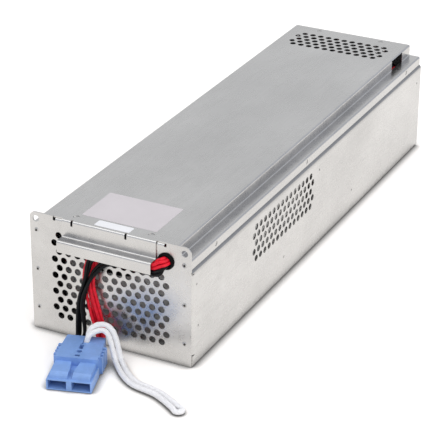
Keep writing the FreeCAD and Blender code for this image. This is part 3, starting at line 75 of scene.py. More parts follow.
class Finish:
    """A principled material whose colour, roughness and bump come from noise in object space."""

    def __init__(self, name, colour, metallic=0.0, roughness=0.5, specular=0.5):
        self.material = bpy.data.materials.new(name)
        self.material.use_nodes = True
        self.nodes = self.material.node_tree.nodes
        self.links = self.material.node_tree.links
        self.shader = self.nodes["Principled BSDF"]
        self.colour = colour
        self.roughness = roughness
        self.shader.inputs["Base Color"].default_value = (*colour, 1)
        self.shader.inputs["Metallic"].default_value = metallic
        self.shader.inputs["Roughness"].default_value = roughness
        socket(self.shader, "Specular IOR Level", "Specular").default_value = specular
        self.coordinates = self.nodes.new("ShaderNodeTexCoord").outputs["Object"]
        self.normal = None
        self.tint = None

    def noise(self, scale, stretch=(1, 1, 1), detail=3.0, roughness=0.5):
        """Noise with so many lumps to a metre, drawn out along an axis by a small stretch."""
        mapping = self.nodes.new("ShaderNodeMapping")
        mapping.inputs["Scale"].default_value = stretch
        self.links.new(self.coordinates, mapping.inputs["Vector"])
        texture = self.nodes.new("ShaderNodeTexNoise")
        texture.inputs["Scale"].default_value = scale
        texture.inputs["Detail"].default_value = detail
        texture.inputs["Roughness"].default_value = roughness
        self.links.new(mapping.outputs["Vector"], texture.inputs["Vector"])
        return texture.outputs["Fac"]

    def ramp(self, source, low, high, start, end):
        """Greys from low to high as the source goes from start to end."""
        ramp = self.nodes.new("ShaderNodeValToRGB")
        for element, grey, position in zip(ramp.color_ramp.elements, (low, high), (start, end)):
            element.position = position
            element.color = (grey, grey, grey, 1)
        self.links.new(source, ramp.inputs["Fac"])
        return ramp.outputs["Color"]

    def vary(self, source, spread, span=NOISE_SPAN):
        """Makes the colour lighter and darker by a share of itself. Several calls multiply."""
        return self.shade(source, 1 - spread, 1 + spread, *span)

    def height(self):
        """How far up a point is, in metres."""
        split = self.nodes.new("ShaderNodeSeparateXYZ")
        self.links.new(self.coordinates, split.inputs[0])
        return split.outputs["Z"]

    def shade(self, source, low, high, start, end):
        """Multiplies the colour by low to high as the source goes from start to end."""
        shade = self.ramp(source, low, high, start, end)
        mix = self.nodes.new("ShaderNodeMixRGB")
        mix.blend_type = "MULTIPLY"
        mix.inputs["Fac"].default_value = 1
        if self.tint is None:
            mix.inputs["Color1"].default_value = (*self.colour, 1)
        else:
            self.links.new(self.tint, mix.inputs["Color1"])
        self.links.new(shade, mix.inputs["Color2"])
        self.tint = mix.outputs["Color"]
        self.links.new(self.tint, self.shader.inputs["Base Color"])
        return self

    def polish(self, source, spread):
        """Lets the roughness wander around its value."""
        wander = self.ramp(source, self.roughness - spread, self.roughness + spread, *NOISE_SPAN)
        self.links.new(wander, self.shader.inputs["Roughness"])
        return self

    def bump(self, source, height, strength=1.0):
        """Adds relief of a height in metres. Several calls stack."""
        bump = self.nodes.new("ShaderNodeBump")
        bump.inputs["Distance"].default_value = height
        bump.inputs["Strength"].default_value = strength
        self.links.new(source, bump.inputs["Height"])
        if self.normal is not None:
            self.links.new(self.normal, bump.inputs["Normal"])
        self.normal = bump.outputs["Normal"]
        self.links.new(self.normal, self.shader.inputs["Normal"])
        return self


# How strongly the zinc's clouds show on the cover, and on the tray and the panels.
COVER_MOTTLE = 0.07
FRONT_MOTTLE = 0.12


def zinc_steel(name, mottle):
    """Zinc-coated sheet: rolling grain along its length, cloudy patches and faint handling marks."""
    finish = Finish(name, (0.548, 0.538, 0.528), metallic=1.0, roughness=0.28)
    grain = finish.noise(60, (18, 0.35, 18), detail=4)
    clouds = finish.noise(11, (1, 0.6, 1), detail=5, roughness=0.6)
    marks = finish.noise(70, (1, 0.6, 1), detail=6, roughness=0.7)
    finish.vary(clouds, mottle).vary(grain, 0.03).vary(marks, mottle / 2)
    finish.polish(marks, 0.08)
    finish.bump(grain, 0.00001, 0.5).bump(clouds, 0.0006, 0.3)
    return finish


def tray_steel_painted_shade():
    """The same sheet, darkened with painted shade in the step under the cover's skirt, where shade
    falls.
    """
    finish = zinc_steel("tray_steel_painted_shade", FRONT_MOTTLE)
    # Painted shade: the colour falls to 0.36 of itself in the step under the skirt.
    start, full = (SKIRT_EDGE - below for below in SHADE_BELOW_SKIRT)
    return finish.shade(finish.height(), 1.0, 0.36, start, full).material


def cut_aluminium():
    """Blind rivets: bright, slightly scuffed."""
    finish = Finish("rivet_metal", (0.50, 0.49, 0.48), metallic=1.0, roughness=0.36)
    scuffs = finish.noise(900, detail=4)
    return finish.vary(scuffs, 0.15).bump(scuffs, 0.00004, 0.6).material


def rubber():
    finish = Finish("black_rubber", (0.003, 0.003, 0.0033), roughness=0.6, specular=0.08)
    grain = finish.noise(1500)
    return finish.vary(finish.noise(90, detail=4), 0.35).bump(grain, 0.00005, 0.6).material


def battery_case():
    """Moulded pale case under a dark lid, with a spark-eroded texture."""
    finish = Finish("battery_case", (0.78, 0.77, 0.75), roughness=0.55)
    spark = finish.noise(1300, detail=2)
    start, full = (BATTERY_TOP - below for below in LID_BELOW_TOP)
    finish.shade(finish.height(), 1.0, 0.06, start, full)
    return finish.vary(finish.noise(25, detail=5), 0.2).bump(spark, 0.00008, 0.7).material


def tinned_brass():
    finish = Finish("tinned_brass", (0.66, 0.62, 0.50), metallic=1.0, roughness=0.3)
    return finish.vary(finish.noise(500, detail=4), 0.12).bump(finish.noise(1200), 0.00002).material


def foam():
    finish = Finish("foam", (0.05, 0.05, 0.05), roughness=0.95, specular=0.2)
    cells = finish.noise(1400, detail=2)
    return finish.vary(cells, 0.4).bump(cells, 0.0004).material


def insulating_sheet():
    finish = Finish("insulating_sheet", (0.62, 0.63, 0.60), roughness=0.4)
    return finish.vary(finish.noise(120, detail=4), 0.04).bump(finish.noise(300), 0.00003).material


def wire_insulation(name, colour, specular):
    """Extruded insulation: satin, with a faint drawn texture and dust."""
    finish = Finish(name, colour, roughness=0.42, specular=specular)
    skin = finish.noise(260, detail=4)
    return finish.vary(skin, 0.18).polish(skin, 0.08).bump(finish.noise(700), 0.00004, 0.5).material


def blue_plastic():
    """Moulded polycarbonate with a fine matt texture and rubbed patches."""
    finish = Finish("blue_plastic", (0.20, 0.345, 0.68), roughness=0.4)
    rubbed = finish.noise(70, detail=5, roughness=0.65)
    return finish.vary(rubbed, 0.12).polish(rubbed, 0.08).bump(finish.noise(1600), 0.00004, 0.6).material


def silvered_copper():
    finish = Finish("silvered_copper", (0.70, 0.68, 0.64), metallic=1.0, roughness=0.28)
    return finish.vary(finish.noise(300, detail=4), 0.1).bump(finish.noise(900), 0.00002).material


def spring_steel():
    finish = Finish("spring_steel", (0.42, 0.42, 0.43), metallic=1.0, roughness=0.3)
    drawn = finish.noise(900, (1, 8, 1))
    return finish.vary(finish.noise(400, detail=4), 0.1).bump(drawn, 0.00002).material


def label_film(name, colour):
    """Printed film without print: satin, with the sheet's texture coming through faintly."""
    finish = Finish(name, colour, roughness=0.36)
    return finish.vary(finish.noise(40, detail=5), 0.03).bump(finish.noise(500), 0.00003, 0.5).material


def braid():
    """White braid: two sets of strands that cross, drawn from the tube's own lengthwise coordinates."""
    finish = Finish("white_braid", (0.95, 0.94, 0.955), roughness=0.8, specular=0.3)
    coordinates = finish.nodes.new("ShaderNodeTexCoord").outputs["UV"]
    waves = []
    for turn in (1, -1):
        mapping = finish.nodes.new("ShaderNodeMapping")
        mapping.inputs["Rotation"].default_value = (0, 0, turn * math.radians(45))
        finish.links.new(coordinates, mapping.inputs["Vector"])
        wave = finish.nodes.new("ShaderNodeTexWave")
        wave.inputs["Scale"].default_value = 1.1
        wave.inputs["Distortion"].default_value = 0.4
        finish.links.new(mapping.outputs["Vector"], wave.inputs["Vector"])
        waves.append(wave.outputs["Fac"])
    weave = finish.nodes.new("ShaderNodeMath")
    weave.operation = "MULTIPLY"
    finish.links.new(waves[0], weave.inputs[0])
    finish.links.new(waves[1], weave.inputs[1])
    finish.vary(weave.outputs["Value"], 0.05, (0.0, 0.8))
    finish.bump(weave.outputs["Value"], 0.0004)
    return finish.material


STEEL = zinc_steel("zinc_steel", COVER_MOTTLE).material
PANEL_STEEL = zinc_steel("panel_steel", FRONT_MOTTLE).material
WIRE = {"red": wire_insulation("red_insulation", (0.72, 0.008, 0.026), 0.25),
        "black": wire_insulation("black_insulation", (0.006, 0.006, 0.0065), 0.12)}
TABS = tinned_brass()
COPPER = silvered_copper()
SPRING = spring_steel()
CASE = battery_case()
FOAM = foam()
FINISHES = {
    "tray": tray_steel_painted_shade(), "front_panel": PANEL_STEEL, "rear_panel": PANEL_STEEL,
    "top_cover": STEEL, "battery_stop": STEEL,
    "panel_rivets": cut_aluminium(), "cable_grommet": rubber(), "left_tabs": TABS, "right_tabs": TABS,
    "rear_pad": FOAM, "left_side_pad": FOAM, "right_side_pad": FOAM,
    "insulating_liner": insulating_sheet(), "red_harness": WIRE["red"], "series_links": WIRE["red"],
    "black_harness": WIRE["black"], "connector_housing": blue_plastic(), "left_contact": COPPER,
    "right_contact": COPPER, "left_spring": SPRING, "right_spring": SPRING,
}
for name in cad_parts:
    if name.startswith("battery_") and name != "battery_stop":
        FINISHES[name] = CASE


def dress(name, material):
    """Gives a carried-over node its finish."""
    mesh = bpy.data.objects[name].data
    mesh.materials.clear()
    mesh.materials.append(material)


for name, material in FINISHES.items():
    dress(name, material)


# --- camera -----------------------------------------------------------------------------------------

CAMERA_PLACE = (753.9, -1286.7, 873.0)
CAMERA_FORWARD = (-0.39822, 0.80274, -0.44388)
CAMERA_RIGHT = (0.89408, 0.44784, 0.00779)


def add_camera():
    """Looks down on the front right corner from about 1.7 m away, through a long lens."""
    camera = bpy.data.cameras.new("camera")
    camera.sensor_width = 36
    camera.lens = 147.8
    camera.shift_x = 0.0007
    camera.shift_y = 0.0054
    camera.clip_end = 20
    holder = bpy.data.objects.new("camera", camera)
    forward = Vector(CAMERA_FORWARD).normalized()
    right = Vector(CAMERA_RIGHT).normalized()
    up = right.cross(forward)
    turn = Matrix((right, up, -forward)).transposed().to_4x4()
    holder.matrix_world = Matrix.Translation(from_face(*CAMERA_PLACE)) @ turn
    bpy.context.scene.collection.objects.link(holder)
    bpy.context.scene.camera = holder


add_camera()


# --- cords ------------------------------------------------------------------------------------------

# The same stations as the CAD leads: the middle of the bundle, the direction of its columns and of its
# rows, and each lead's column and row there, counted in wire pitches.
WIRE_DIAMETER = 3.2
PITCH = 3.3
# How far inside the connector's rear end a lead's last two points lie.
INTO_BARREL = (1, 19)
PLUG = {"across": 5.8, "ahead": 87.2, "turn": math.radians(16.5), "length": 69.0, "level": 9.2,
        "poles": 20.6}

RIGHT = (1, 0, 0)
FRONTWARD = (0.92, -0.38, 0)
FRONT_RIGHT = (0.7071, -0.7071, 0)
FRONT = (0, -1, 0)
UP = (0, 0, 1)
UP_BACK = (-0.25, 0.15, 0.95)
UP_LEFT = (-0.26, 0, 0.965)
LEFT = (-1, 0, 0)

RING = {"black_lead_4": (-1.27, 0), "red_lead_1": (-0.9, 0.9), "black_lead_1": (-0.9, -0.9),
        "red_lead_2": (0, 1.27), "black_lead_2": (0, -1.27), "red_lead_3": (0.9, 0.9),
        "black_lead_3": (0.9, -0.9), "red_lead_4": (1.27, 0)}
PAIRS = {"red_lead_1": (-0.5, 0.5), "red_lead_2": (-0.5, 1.5), "red_lead_3": (0.5, 1.5),
         "red_lead_4": (0.5, 0.5), "black_lead_4": (-0.5, -0.5), "black_lead_1": (-0.5, -1.5),
         "black_lead_2": (0.5, -1.5), "black_lead_3": (0.5, -0.5)}
BEND = {"red_lead_1": (-0.65, 0.6), "red_lead_2": (-0.5, 1.8), "red_lead_3": (0.6, 1.65),
        "red_lead_4": (0.7, 0.5), "black_lead_1": (-0.5, -1.75), "black_lead_2": (0.65, -1.75),
        "black_lead_3": (0.75, -0.6), "black_lead_4": (-0.65, -0.6)}
FOUR = {"red_lead_1": (-0.55, 0.55), "red_lead_2": (0.55, 0.55), "red_lead_3": (0.55, -0.55),
        "red_lead_4": (-0.55, -0.55), "black_lead_1": (-0.55, -0.55), "black_lead_2": (0.55, -0.55),
        "black_lead_3": (0.55, 0.55), "black_lead_4": (-0.55, 0.55)}

BEHIND_HANDLE = [
    ((58.9, -1.0, 104.5), RIGHT, UP, RING),
    ((58.9, -4.6, 104.4), FRONTWARD, UP, RING),
    ((56.6, -8.8, 101.9), FRONT_RIGHT, UP_BACK, BEND),
    ((51.4, -6.8, 96.9), FRONT, UP_LEFT, PAIRS),
    ((42.0, -5.4, 96.8), FRONT, UP, PAIRS),
    ((27.0, -5.2, 97.0), FRONT, UP, PAIRS),
    ((12.0, -5.4, 97.0), FRONT, UP, PAIRS),
]
# From there they drop in four pairs: the middle of a pair, and the way from it to its second lead,
# counted in wire pitches.
PAIR_OF = {"black_lead_1": ("right black", -1), "black_lead_2": ("right black", 1),
           "black_lead_4": ("left black", -1), "black_lead_3": ("left black", 1),
           "red_lead_1": ("left red", -1), "red_lead_2": ("left red", 1),
           "red_lead_4": ("right red", -1), "red_lead_3": ("right red", 1)}
DROPS = {
    "right black": [
        ((4.0, -6.4, 91.8), (0.1, -0.5, -0.1)), ((-2.6, -8.0, 89.8), (0.36, -0.2, -0.36)),
        ((-9.2, -10.4, 82.6), (0.4, -0.2, -0.3)), ((-13.9, -12.0, 74.4), (0.25, -0.45, -0.1)),
        ((-18.2, -12.2, 63.0), (0, -0.5, 0)), ((-21.7, -12.2, 53.0), (0, -0.5, 0)),
        ((-23.0, -12.2, 43.5), (0, -0.5, 0)), ((-22.2, -12.4, 33.0), (0.1, -0.5, 0)),
        ((-20.6, -12.8, 22.5), (0.2, -0.46, 0)), ((-20.2, -14.0, 14.9), (0.2, -0.44, 0.1)),
        ((-21.0, -17.6, 10.6), (0.1, -0.3, 0.42)),
    ],
    "left black": [
        ((4.8, -7.0, 95.9), (0, -0.36, 0.36)), ((-3.0, -8.7, 96.4), (0, 0, 0.5)),
        ((-9.5, -8.8, 96.0), (-0.1, 0, 0.5)), ((-15.0, -8.8, 92.4), (-0.42, 0, 0.28)),
        ((-17.0, -9.8, 85.8), (-0.32, -0.4, 0)), ((-17.8, -11.2, 78.0), (-0.1, -0.5, 0)),
        ((-19.6, -12.2, 70.0), (0, -0.5, 0)), ((-22.3, -12.2, 62.0), (0, -0.5, 0)),
        ((-25.4, -12.2, 52.5), (0, -0.5, 0)), ((-26.7, -12.2, 43.5), (0, -0.5, 0)),
        ((-27.2, -12.4, 33.0), (-0.1, -0.5, 0)), ((-27.2, -12.8, 22.5), (-0.2, -0.46, 0)),
        ((-26.6, -14.0, 14.9), (-0.2, -0.44, 0.1)), ((-25.6, -17.6, 10.6), (-0.1, -0.3, 0.42)),
    ],
    "left red": [
        ((4.0, -2.9, 100.3), (0, 0, 0.5)), ((-4.0, -2.4, 100.3), (0, 0, 0.5)),
        ((-11.5, -2.6, 98.6), (-0.22, 0, 0.46)), ((-17.5, -3.2, 93.0), (-0.42, 0, 0.3)),
        ((-20.8, -3.9, 84.5), (-0.5, 0, 0.1)), ((-22.8, -4.7, 75.0), (-0.54, 0, 0)),
        ((-22.6, -5.4, 65.5), (-0.5, -0.1, 0)), ((-20.3, -6.2, 55.6), (-0.45, -0.3, 0)),
        ((-17.6, -6.6, 44.0), (-0.35, -0.4, 0)), ((-14.7, -7.2, 32.9), (-0.2, -0.46, 0)),
        ((-10.6, -8.2, 22.3), (-0.1, -0.5, 0)), ((-7.4, -10.0, 14.2), (-0.15, -0.4, 0.3)),
        ((-5.6, -14.0, 10.2), (-0.2, -0.2, 0.45)),
    ],
    "right red": [
        ((4.0, -6.2, 100.4), (0, 0, 0.5)), ((-3.0, -5.4, 100.0), (-0.05, 0, 0.5)),
        ((-8.5, -5.1, 96.6), (-0.36, 0, 0.36)), ((-11.8, -5.2, 90.0), (-0.5, 0, 0.12)),
        ((-13.8, -5.2, 82.0), (-0.5, 0, 0)), ((-15.6, -5.7, 73.0), (-0.5, 0, 0)),
        ((-16.2, -6.2, 65.0), (-0.48, -0.1, 0)), ((-14.8, -6.2, 56.8), (-0.42, -0.3, 0)),
        ((-11.7, -6.2, 45.4), (-0.32, -0.4, 0)), ((-8.2, -6.8, 34.5), (-0.16, -0.48, 0)),
        ((-4.4, -7.8, 24.0), (-0.05, -0.5, 0)), ((-2.2, -9.6, 14.6), (0.05, -0.42, 0.28)),
        ((-2.4, -13.4, 10.2), (0.05, -0.2, 0.45)),
    ],
}

# The doubled lanyard: the middle between its two strands, and the way to the outer one, counted in
# cord diameters; then the turn at its end.
LANYARD_DIAMETER = 5.4
BRAID_PITCH = 6.0
BRAID_STEP = 0.8
LANYARD = [
    ((-9.85, -26.95, 5.0), (-0.15, 0.505, 0)), ((-9.85, -26.95, 19.5), (-0.15, 0.505, 0)),
    ((-8.0, -24.8, 26.2), (-0.24, 0.42, 0.2)), ((-2.4, -19.9, 30.0), (-0.2, 0.3, 0.4)),
    ((4.0, -17.0, 30.2), (0.08, 0.33, 0.4)), ((9.9, -17.4, 26.4), (0.28, 0.32, 0.3)),
    ((14.2, -19.4, 19.0), (0.42, 0.28, 0.13)), ((17.8, -22.2, 11.0), (0.42, 0.3, 0.08)),
    ((22.4, -26.2, 4.8), (0.38, 0.36, 0.06)), ((29.8, -33.6, 2.8), (0.38, 0.36, 0)),
    ((40.0, -43.6, 2.8), (0.34, 0.4, 0)), ((53.6, -52.6, 2.8), (0.16, 0.49, 0)),
    ((67.0, -54.8, 2.8), (0.02, 0.53, 0)), ((79.0, -56.6, 2.8), (0.1, 0.52, 0)),
    ((92.0, -62.8, 2.8), (0.25, 0.46, 0)), ((104.5, -70.2, 2.8), (0.26, 0.46, 0)),
]
TURN = [(109.0, -69.3, 2.8), (112.5, -70.4, 2.8), (114.1, -73.6, 2.8), (112.1, -77.0, 2.8),
        (108.5, -77.2, 2.8), (105.7, -74.7, 2.8)]


def at_plug(across, back, up):
    """A point in millimetres given in the connector's own frame."""
    return (PLUG["across"] + across * math.cos(PLUG["turn"]) - back * math.sin(PLUG["turn"]),
            -PLUG["ahead"] + across * math.sin(PLUG["turn"]) + back * math.cos(PLUG["turn"]), up)


def lead_points(name, pole):
    """Control points of one lead, ending in its barrel inside the connector."""
    points = []
    for centre, column, row, lanes in BEHIND_HANDLE:
        across, up = lanes[name]
        points.append(from_face(*centre) + (Vector(column) * across + Vector(row) * up) * PITCH * MM)
    pair, side = PAIR_OF[name]
    for centre, offset in DROPS[pair]:
        points.append(from_face(*centre) + Vector(offset) * PITCH * MM * side)
    up, across = FOUR[name]
    for inside in INTO_BARREL:
        centre = at_plug(pole, PLUG["length"] - inside, PLUG["level"])
        points.append(from_face(*centre) + (Vector(UP) * up + Vector(LEFT) * across) * PITCH * MM)
    return points


def smooth_curve(name, points, diameter):
    """A round cord along a quadratic NURBS whose control points are the route's points."""
    curve = bpy.data.curves.new(name, "CURVE")
    curve.dimensions = "3D"
    spline = curve.splines.new("NURBS")
    spline.points.add(len(points) - 1)
    for point, place in zip(spline.points, points):
        point.co = (*place, 1)
    spline.order_u = 3
    spline.use_endpoint_u = True
    curve.resolution_u = 10
    curve.bevel_depth = diameter / 2
    curve.bevel_resolution = 5
    curve.use_fill_caps = True
    cord = bpy.data.objects.new(name, curve)
    bpy.context.scene.collection.objects.link(cord)
    return cord


def line_of(points):
    """Points along the smooth line, read back from its spline."""
    guide = smooth_curve("guide", points, 0)
    mesh = bpy.data.meshes.new_from_object(guide)
    line = [vertex.co.copy() for vertex in mesh.vertices]
    bpy.data.meshes.remove(mesh)
    bpy.data.objects.remove(guide)
    return line


def length_of(line):
    return sum((b - a).length for a, b in zip(line, line[1:]))


def add_leads():
    """The eight free leads, each ending inside the connector."""
    for colour, side in (("red", 0.5), ("black", -0.5)):
        for number in range(1, 5):
            node = "%s_lead_%d" % (colour, number)
            points = lead_points(node, side * PLUG["poles"])
            cord = smooth_curve(node + "_insulation", points, WIRE_DIAMETER * MM)
            cord.data.materials.append(WIRE[colour])
            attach(cord, "root")
            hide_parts(node)
            length_of(line_of(points))


def object_of(name, mesh):
    """An object in the scene from an edited mesh, which is used up."""
    data = bpy.data.meshes.new(name)
    mesh.to_mesh(data)
    mesh.free()
    made = bpy.data.objects.new(name, data)
    bpy.context.scene.collection.objects.link(made)
    return made


def braided_tube(name, line, diameter, pitch):
    """A tube along a line whose surface rises and falls as a braid's strands do."""
    around = 16
    strands = 4
    relief = 0.05
    mesh = bmesh.new()
    uv_layer = mesh.loops.layers.uv.new("UVMap")
    normal = Vector((0, 0, 1))
    rings, lengths = [], []
    run = 0.0
    for i, place in enumerate(line):
        ahead = (line[min(i + 1, len(line) - 1)] - line[max(i - 1, 0)]).normalized()
        normal = (normal - ahead * normal.dot(ahead)).normalized()
        side = ahead.cross(normal)
        run += (place - line[i - 1]).length if i else 0.0
        ring = []
        for j in range(around):
            angle = 2 * math.pi * j / around
            twist = run / pitch * math.pi
            weave = math.sin(strands * angle + twist) * math.sin(strands * angle - twist)
            radius = diameter / 2 * (1 - relief + relief * weave)
            outward = normal * math.cos(angle) + side * math.sin(angle)
            ring.append(mesh.verts.new(place + outward * radius))
        rings.append(ring)
        lengths.append(run)
    for i in range(len(rings) - 1):
        for j in range(around):
            k = (j + 1) % around
            face = mesh.faces.new((rings[i][j], rings[i][k], rings[i + 1][k], rings[i + 1][j]))
            face.smooth = True
            corners = ((j, i), (j + 1, i), (j + 1, i + 1), (j, i + 1))
            for loop, (turn, step) in zip(face.loops, corners):
                loop[uv_layer].uv = (turn / around * strands, lengths[step] / pitch)
    mesh.faces.new(list(reversed(rings[0])))
    mesh.faces.new(rings[-1])
    return object_of(name, mesh)


def even_line(line, step):
    """The same line with its points a step apart, so that the braid is even."""
    total = length_of(line)
    count = int(total / step)
    result, index, run = [], 0, 0.0
    for i in range(count + 1):
        target = total * i / count
        while index < len(line) - 2 and run + (line[index + 1] - line[index]).length < target:
            run += (line[index + 1] - line[index]).length
            index += 1
        piece = line[index + 1] - line[index]
        result.append(line[index] + piece * min((target - run) / piece.length, 1.0))
    return result


def add_lanyard():
    """The pull lanyard: out along one strand, round the turn and back along the other."""
    strands = [[from_face(*middle) + Vector(offset) * LANYARD_DIAMETER * MM * side
                for middle, offset in LANYARD] for side in (1, -1)]
    points = strands[0] + [from_face(*place) for place in TURN] + strands[1][::-1]
    line = even_line(line_of(points), BRAID_STEP * MM)
    cord = braided_tube("lanyard_braid", line, LANYARD_DIAMETER * MM, BRAID_PITCH * MM)
    cord.data.materials.append(braid())
    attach(cord, "root")
    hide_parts("lanyard_cord")


add_leads()
add_lanyard()


# --- labels and rivet ends --------------------------------------------------------------------------

LABEL_THICKNESS = 0.12
LABEL_CORNER = 1.5
RIVET_HEAD = 5.2
RIVET_ROWS = 3
# The stub's outline from its root to its dimple: radius, and how far it stands off the panel's face.
MANDREL_OUTLINE = ((1.2, 0.2), (1.2, 0.62), (0.95, 0.75), (0.5, 0.68))


def rounded_plate(name, left, right, front, rear, bottom, thickness, radius):
    """A flat plate with rounded corners, in millimetres on the frame's axes."""
    mesh = bmesh.new()
    outline = []
    for x, y, start in ((right, rear, 0), (left, rear, 90), (left, front, 180), (right, front, 270)):
        centre_x = x - math.copysign(radius, x - (left + right) / 2)
        centre_y = y - math.copysign(radius, y - (front + rear) / 2)
        for step in range(7):
            angle = math.radians(start + 15 * step)
            outline.append((centre_x + radius * math.cos(angle), centre_y + radius * math.sin(angle)))
    low = [mesh.verts.new(from_face(x, y, bottom)) for x, y in outline]
    high = [mesh.verts.new(from_face(x, y, bottom + thickness)) for x, y in outline]
    mesh.faces.new(list(reversed(low)))
    mesh.faces.new(high)
    for i in range(len(low)):
        k = (i + 1) % len(low)
        mesh.faces.new((low[i], low[k], high[k], high[i]))
    return object_of(name, mesh)


def add_mandrels():
    """The broken end of each rivet's mandrel, a dimpled stub in the middle of its head; its near-black
    colour is painted shade for the rivet's hollow bore.
    """
    # Painted shade: the stub's near-black colour stands for the shade inside the rivet's hollow.
    finish = Finish("mandrel_end_painted_shade", (0.07, 0.065, 0.06), metallic=1.0, roughness=0.5)
    finish.vary(finish.noise(1500, detail=3), 0.2)
    low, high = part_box("panel_rivets")
    edge = RIVET_HEAD / 2 * MM
    mesh = bmesh.new()
    sides = 14
    for across in (low[0] + edge, high[0] - edge):
        for i in range(RIVET_ROWS):
            up = low[2] + edge + (high[2] - low[2] - 2 * edge) * i / (RIVET_ROWS - 1)
            rings = []
            for radius, ahead in MANDREL_OUTLINE:
                rings.append([mesh.verts.new((across + radius * MM * math.cos(2 * math.pi * j / sides),
                                              FACE - ahead * MM,
                                              up + radius * MM * math.sin(2 * math.pi * j / sides)))
                              for j in range(sides)])
            for near, far in zip(rings, rings[1:]):
                for j in range(sides):
                    k = (j + 1) % sides
                    mesh.faces.new((near[j], near[k], far[k], far[j])).smooth = True
            mesh.faces.new(rings[-1])
            mesh.faces.new(list(reversed(rings[0])))
    stubs = object_of("rivet_mandrels", mesh)
    stubs.data.materials.append(finish.material)
    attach(stubs, "root")


def add_labels():
    """Two blank labels on the front of the cover."""
    top = COVER_TOP / MM
    for name, sides, colour in (("large_label", (-37.6, 40.9, 15.5, 68.7), (0.545, 0.505, 0.52)),
                                ("small_label", (-17.2, 19.6, 2.4, 13.1), (0.75, 0.745, 0.765))):
        label = rounded_plate(name, *sides, top, LABEL_THICKNESS, LABEL_CORNER)
        label.data.materials.append(label_film(name + "_film", colour))
        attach(label, "root")


add_mandrels()
add_labels()


# --- stage ------------------------------------------------------------------------------------------

FLOOR_GAP = 0.5 * MM
FLOOR_COLOUR = (0.91, 0.88, 0.855, 1)
FLOOR_IN_REFLECTIONS = (0.36, 0.35, 0.335, 1)
GLOW_COLOUR = (1, 0.985, 0.97, 1)
GLOW_TO_CAMERA = 0.24
GLOW_IN_REFLECTIONS = 0.86
# The contact shadow: how far it reaches, and how much it takes away where the floor is shut in.
CONTACT_REACH = 11 * MM
CONTACT_OPENNESS = (0.45, 0.92)
CONTACT_LEVEL = (0.2, 1.0)

ROOM_STRENGTH = 0.87
ROOM_COLOUR = (0.955, 0.975, 1.0, 1)
ROOM_END_COLOUR = (0.75, 0.79, 0.88, 1)
# The way to the room's far end, and how closely a direction has to point along it to meet an end.
ROOM_AXIS = (0.446, 0.894, 0)
ROOM_END_SPAN = (0.70, 0.88)


def spread(node, source, target=(0, 1)):
    """Sets a map range node to stretch one span of values over another."""
    node.inputs["From Min"].default_value, node.inputs["From Max"].default_value = source
    node.inputs["To Min"].default_value, node.inputs["To Max"].default_value = target


def pale_surface(name):
    """The floor: white to the camera and in reflections, darker close under the object."""
    material = bpy.data.materials.new(name)
    material.use_nodes = True
    nodes, links = material.node_tree.nodes, material.node_tree.links
    nodes.clear()
    output = nodes.new("ShaderNodeOutputMaterial")
    path = nodes.new("ShaderNodeLightPath")
    reflected = nodes.new("ShaderNodeMath")
    reflected.operation = "MAXIMUM"
    links.new(path.outputs["Is Glossy Ray"], reflected.inputs[0])
    links.new(path.outputs["Is Transmission Ray"], reflected.inputs[1])
    tone = nodes.new("ShaderNodeMixRGB")
    tone.inputs["Color1"].default_value = FLOOR_COLOUR
    tone.inputs["Color2"].default_value = FLOOR_IN_REFLECTIONS
    links.new(reflected.outputs[0], tone.inputs["Fac"])
    contact = nodes.new("ShaderNodeAmbientOcclusion")
    contact.samples = 16
    contact.inputs["Distance"].default_value = CONTACT_REACH
    dark = nodes.new("ShaderNodeMapRange")
    spread(dark, CONTACT_OPENNESS, CONTACT_LEVEL)
    links.new(contact.outputs["AO"], dark.inputs["Value"])
    ground = nodes.new("ShaderNodeMixRGB")
    ground.blend_type = "MULTIPLY"
    ground.inputs["Fac"].default_value = 1
    links.new(tone.outputs[0], ground.inputs["Color1"])
    links.new(dark.outputs[0], ground.inputs["Color2"])
    diffuse = nodes.new("ShaderNodeBsdfDiffuse")
    links.new(ground.outputs[0], diffuse.inputs["Color"])
    seen = nodes.new("ShaderNodeMath")
    seen.operation = "MULTIPLY"
    seen.inputs[1].default_value = GLOW_TO_CAMERA
    links.new(path.outputs["Is Camera Ray"], seen.inputs[0])
    level = nodes.new("ShaderNodeMath")
    level.operation = "MULTIPLY_ADD"
    level.inputs[1].default_value = GLOW_IN_REFLECTIONS
    links.new(reflected.outputs[0], level.inputs[0])
    links.new(seen.outputs[0], level.inputs[2])
    glow = nodes.new("ShaderNodeEmission")
    glow.inputs["Color"].default_value = GLOW_COLOUR
    strength = nodes.new("ShaderNodeMath")
    strength.operation = "MULTIPLY"
    links.new(level.outputs[0], strength.inputs[0])
    links.new(dark.outputs[0], strength.inputs[1])
    links.new(strength.outputs[0], glow.inputs["Strength"])
    both = nodes.new("ShaderNodeAddShader")
    links.new(diffuse.outputs[0], both.inputs[0])
    links.new(glow.outputs[0], both.inputs[1])
    links.new(both.outputs[0], output.inputs["Surface"])
    return material


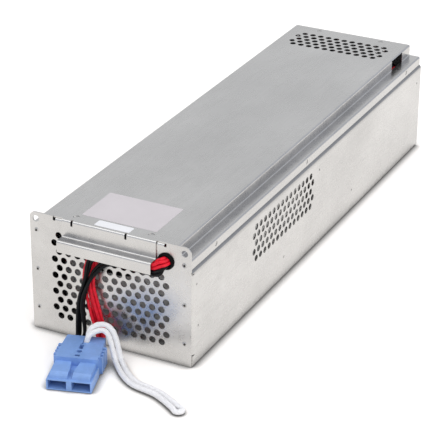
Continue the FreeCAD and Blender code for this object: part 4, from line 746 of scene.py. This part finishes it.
def add_floor():
    mesh = bmesh.new()
    bmesh.ops.create_grid(mesh, x_segments=8, y_segments=8, size=6)
    floor = object_of("floor", mesh)
    floor.location.z = -FLOOR_GAP
    floor.data.materials.append(pale_surface("pale_floor"))


def add_lamp(name, place, target, size, power):
    lamp = bpy.data.lights.new(name, "AREA")
    lamp.shape = "RECTANGLE"
    lamp.size, lamp.size_y = size
    lamp.energy = power
    holder = bpy.data.objects.new(name, lamp)
    holder.location = place
    holder.rotation_euler = (Vector(target) - Vector(place)).to_track_quat("-Z", "Y").to_euler()
    bpy.context.scene.collection.objects.link(holder)


def add_light():
    """A pale room, dimmer at its two ends, with three soft lamps."""
    world = bpy.data.worlds.new("studio")
    bpy.context.scene.world = world
    world.use_nodes = True
    nodes, links = world.node_tree.nodes, world.node_tree.links
    background = nodes["Background"]
    background.inputs["Strength"].default_value = ROOM_STRENGTH
    direction = nodes.new("ShaderNodeTexCoord").outputs["Generated"]
    along = nodes.new("ShaderNodeVectorMath")
    along.operation = "DOT_PRODUCT"
    along.inputs[1].default_value = ROOM_AXIS
    links.new(direction, along.inputs[0])
    either = nodes.new("ShaderNodeMath")
    either.operation = "ABSOLUTE"
    links.new(along.outputs["Value"], either.inputs[0])
    near_end = nodes.new("ShaderNodeMapRange")
    spread(near_end, ROOM_END_SPAN)
    links.new(either.outputs[0], near_end.inputs["Value"])
    sky = nodes.new("ShaderNodeMixRGB")
    sky.inputs["Color1"].default_value = ROOM_COLOUR
    sky.inputs["Color2"].default_value = ROOM_END_COLOUR
    links.new(near_end.outputs[0], sky.inputs["Fac"])
    links.new(sky.outputs[0], background.inputs["Color"])
    add_lamp("front_high", (-0.9, -1.1, 2.1), (0, 0, 0), (1.6, 1.6), 10)
    add_lamp("overhead", (0.5, 0.3, 2.3), (0, -0.1, 0), (1.2, 1.2), 6)
    add_lamp("right_side", (2.0, -0.6, 1.6), (0, 0, 0.05), (1.4, 1.2), 14)


add_floor()
add_light()
bpy.context.scene.view_settings.view_transform = "Standard"
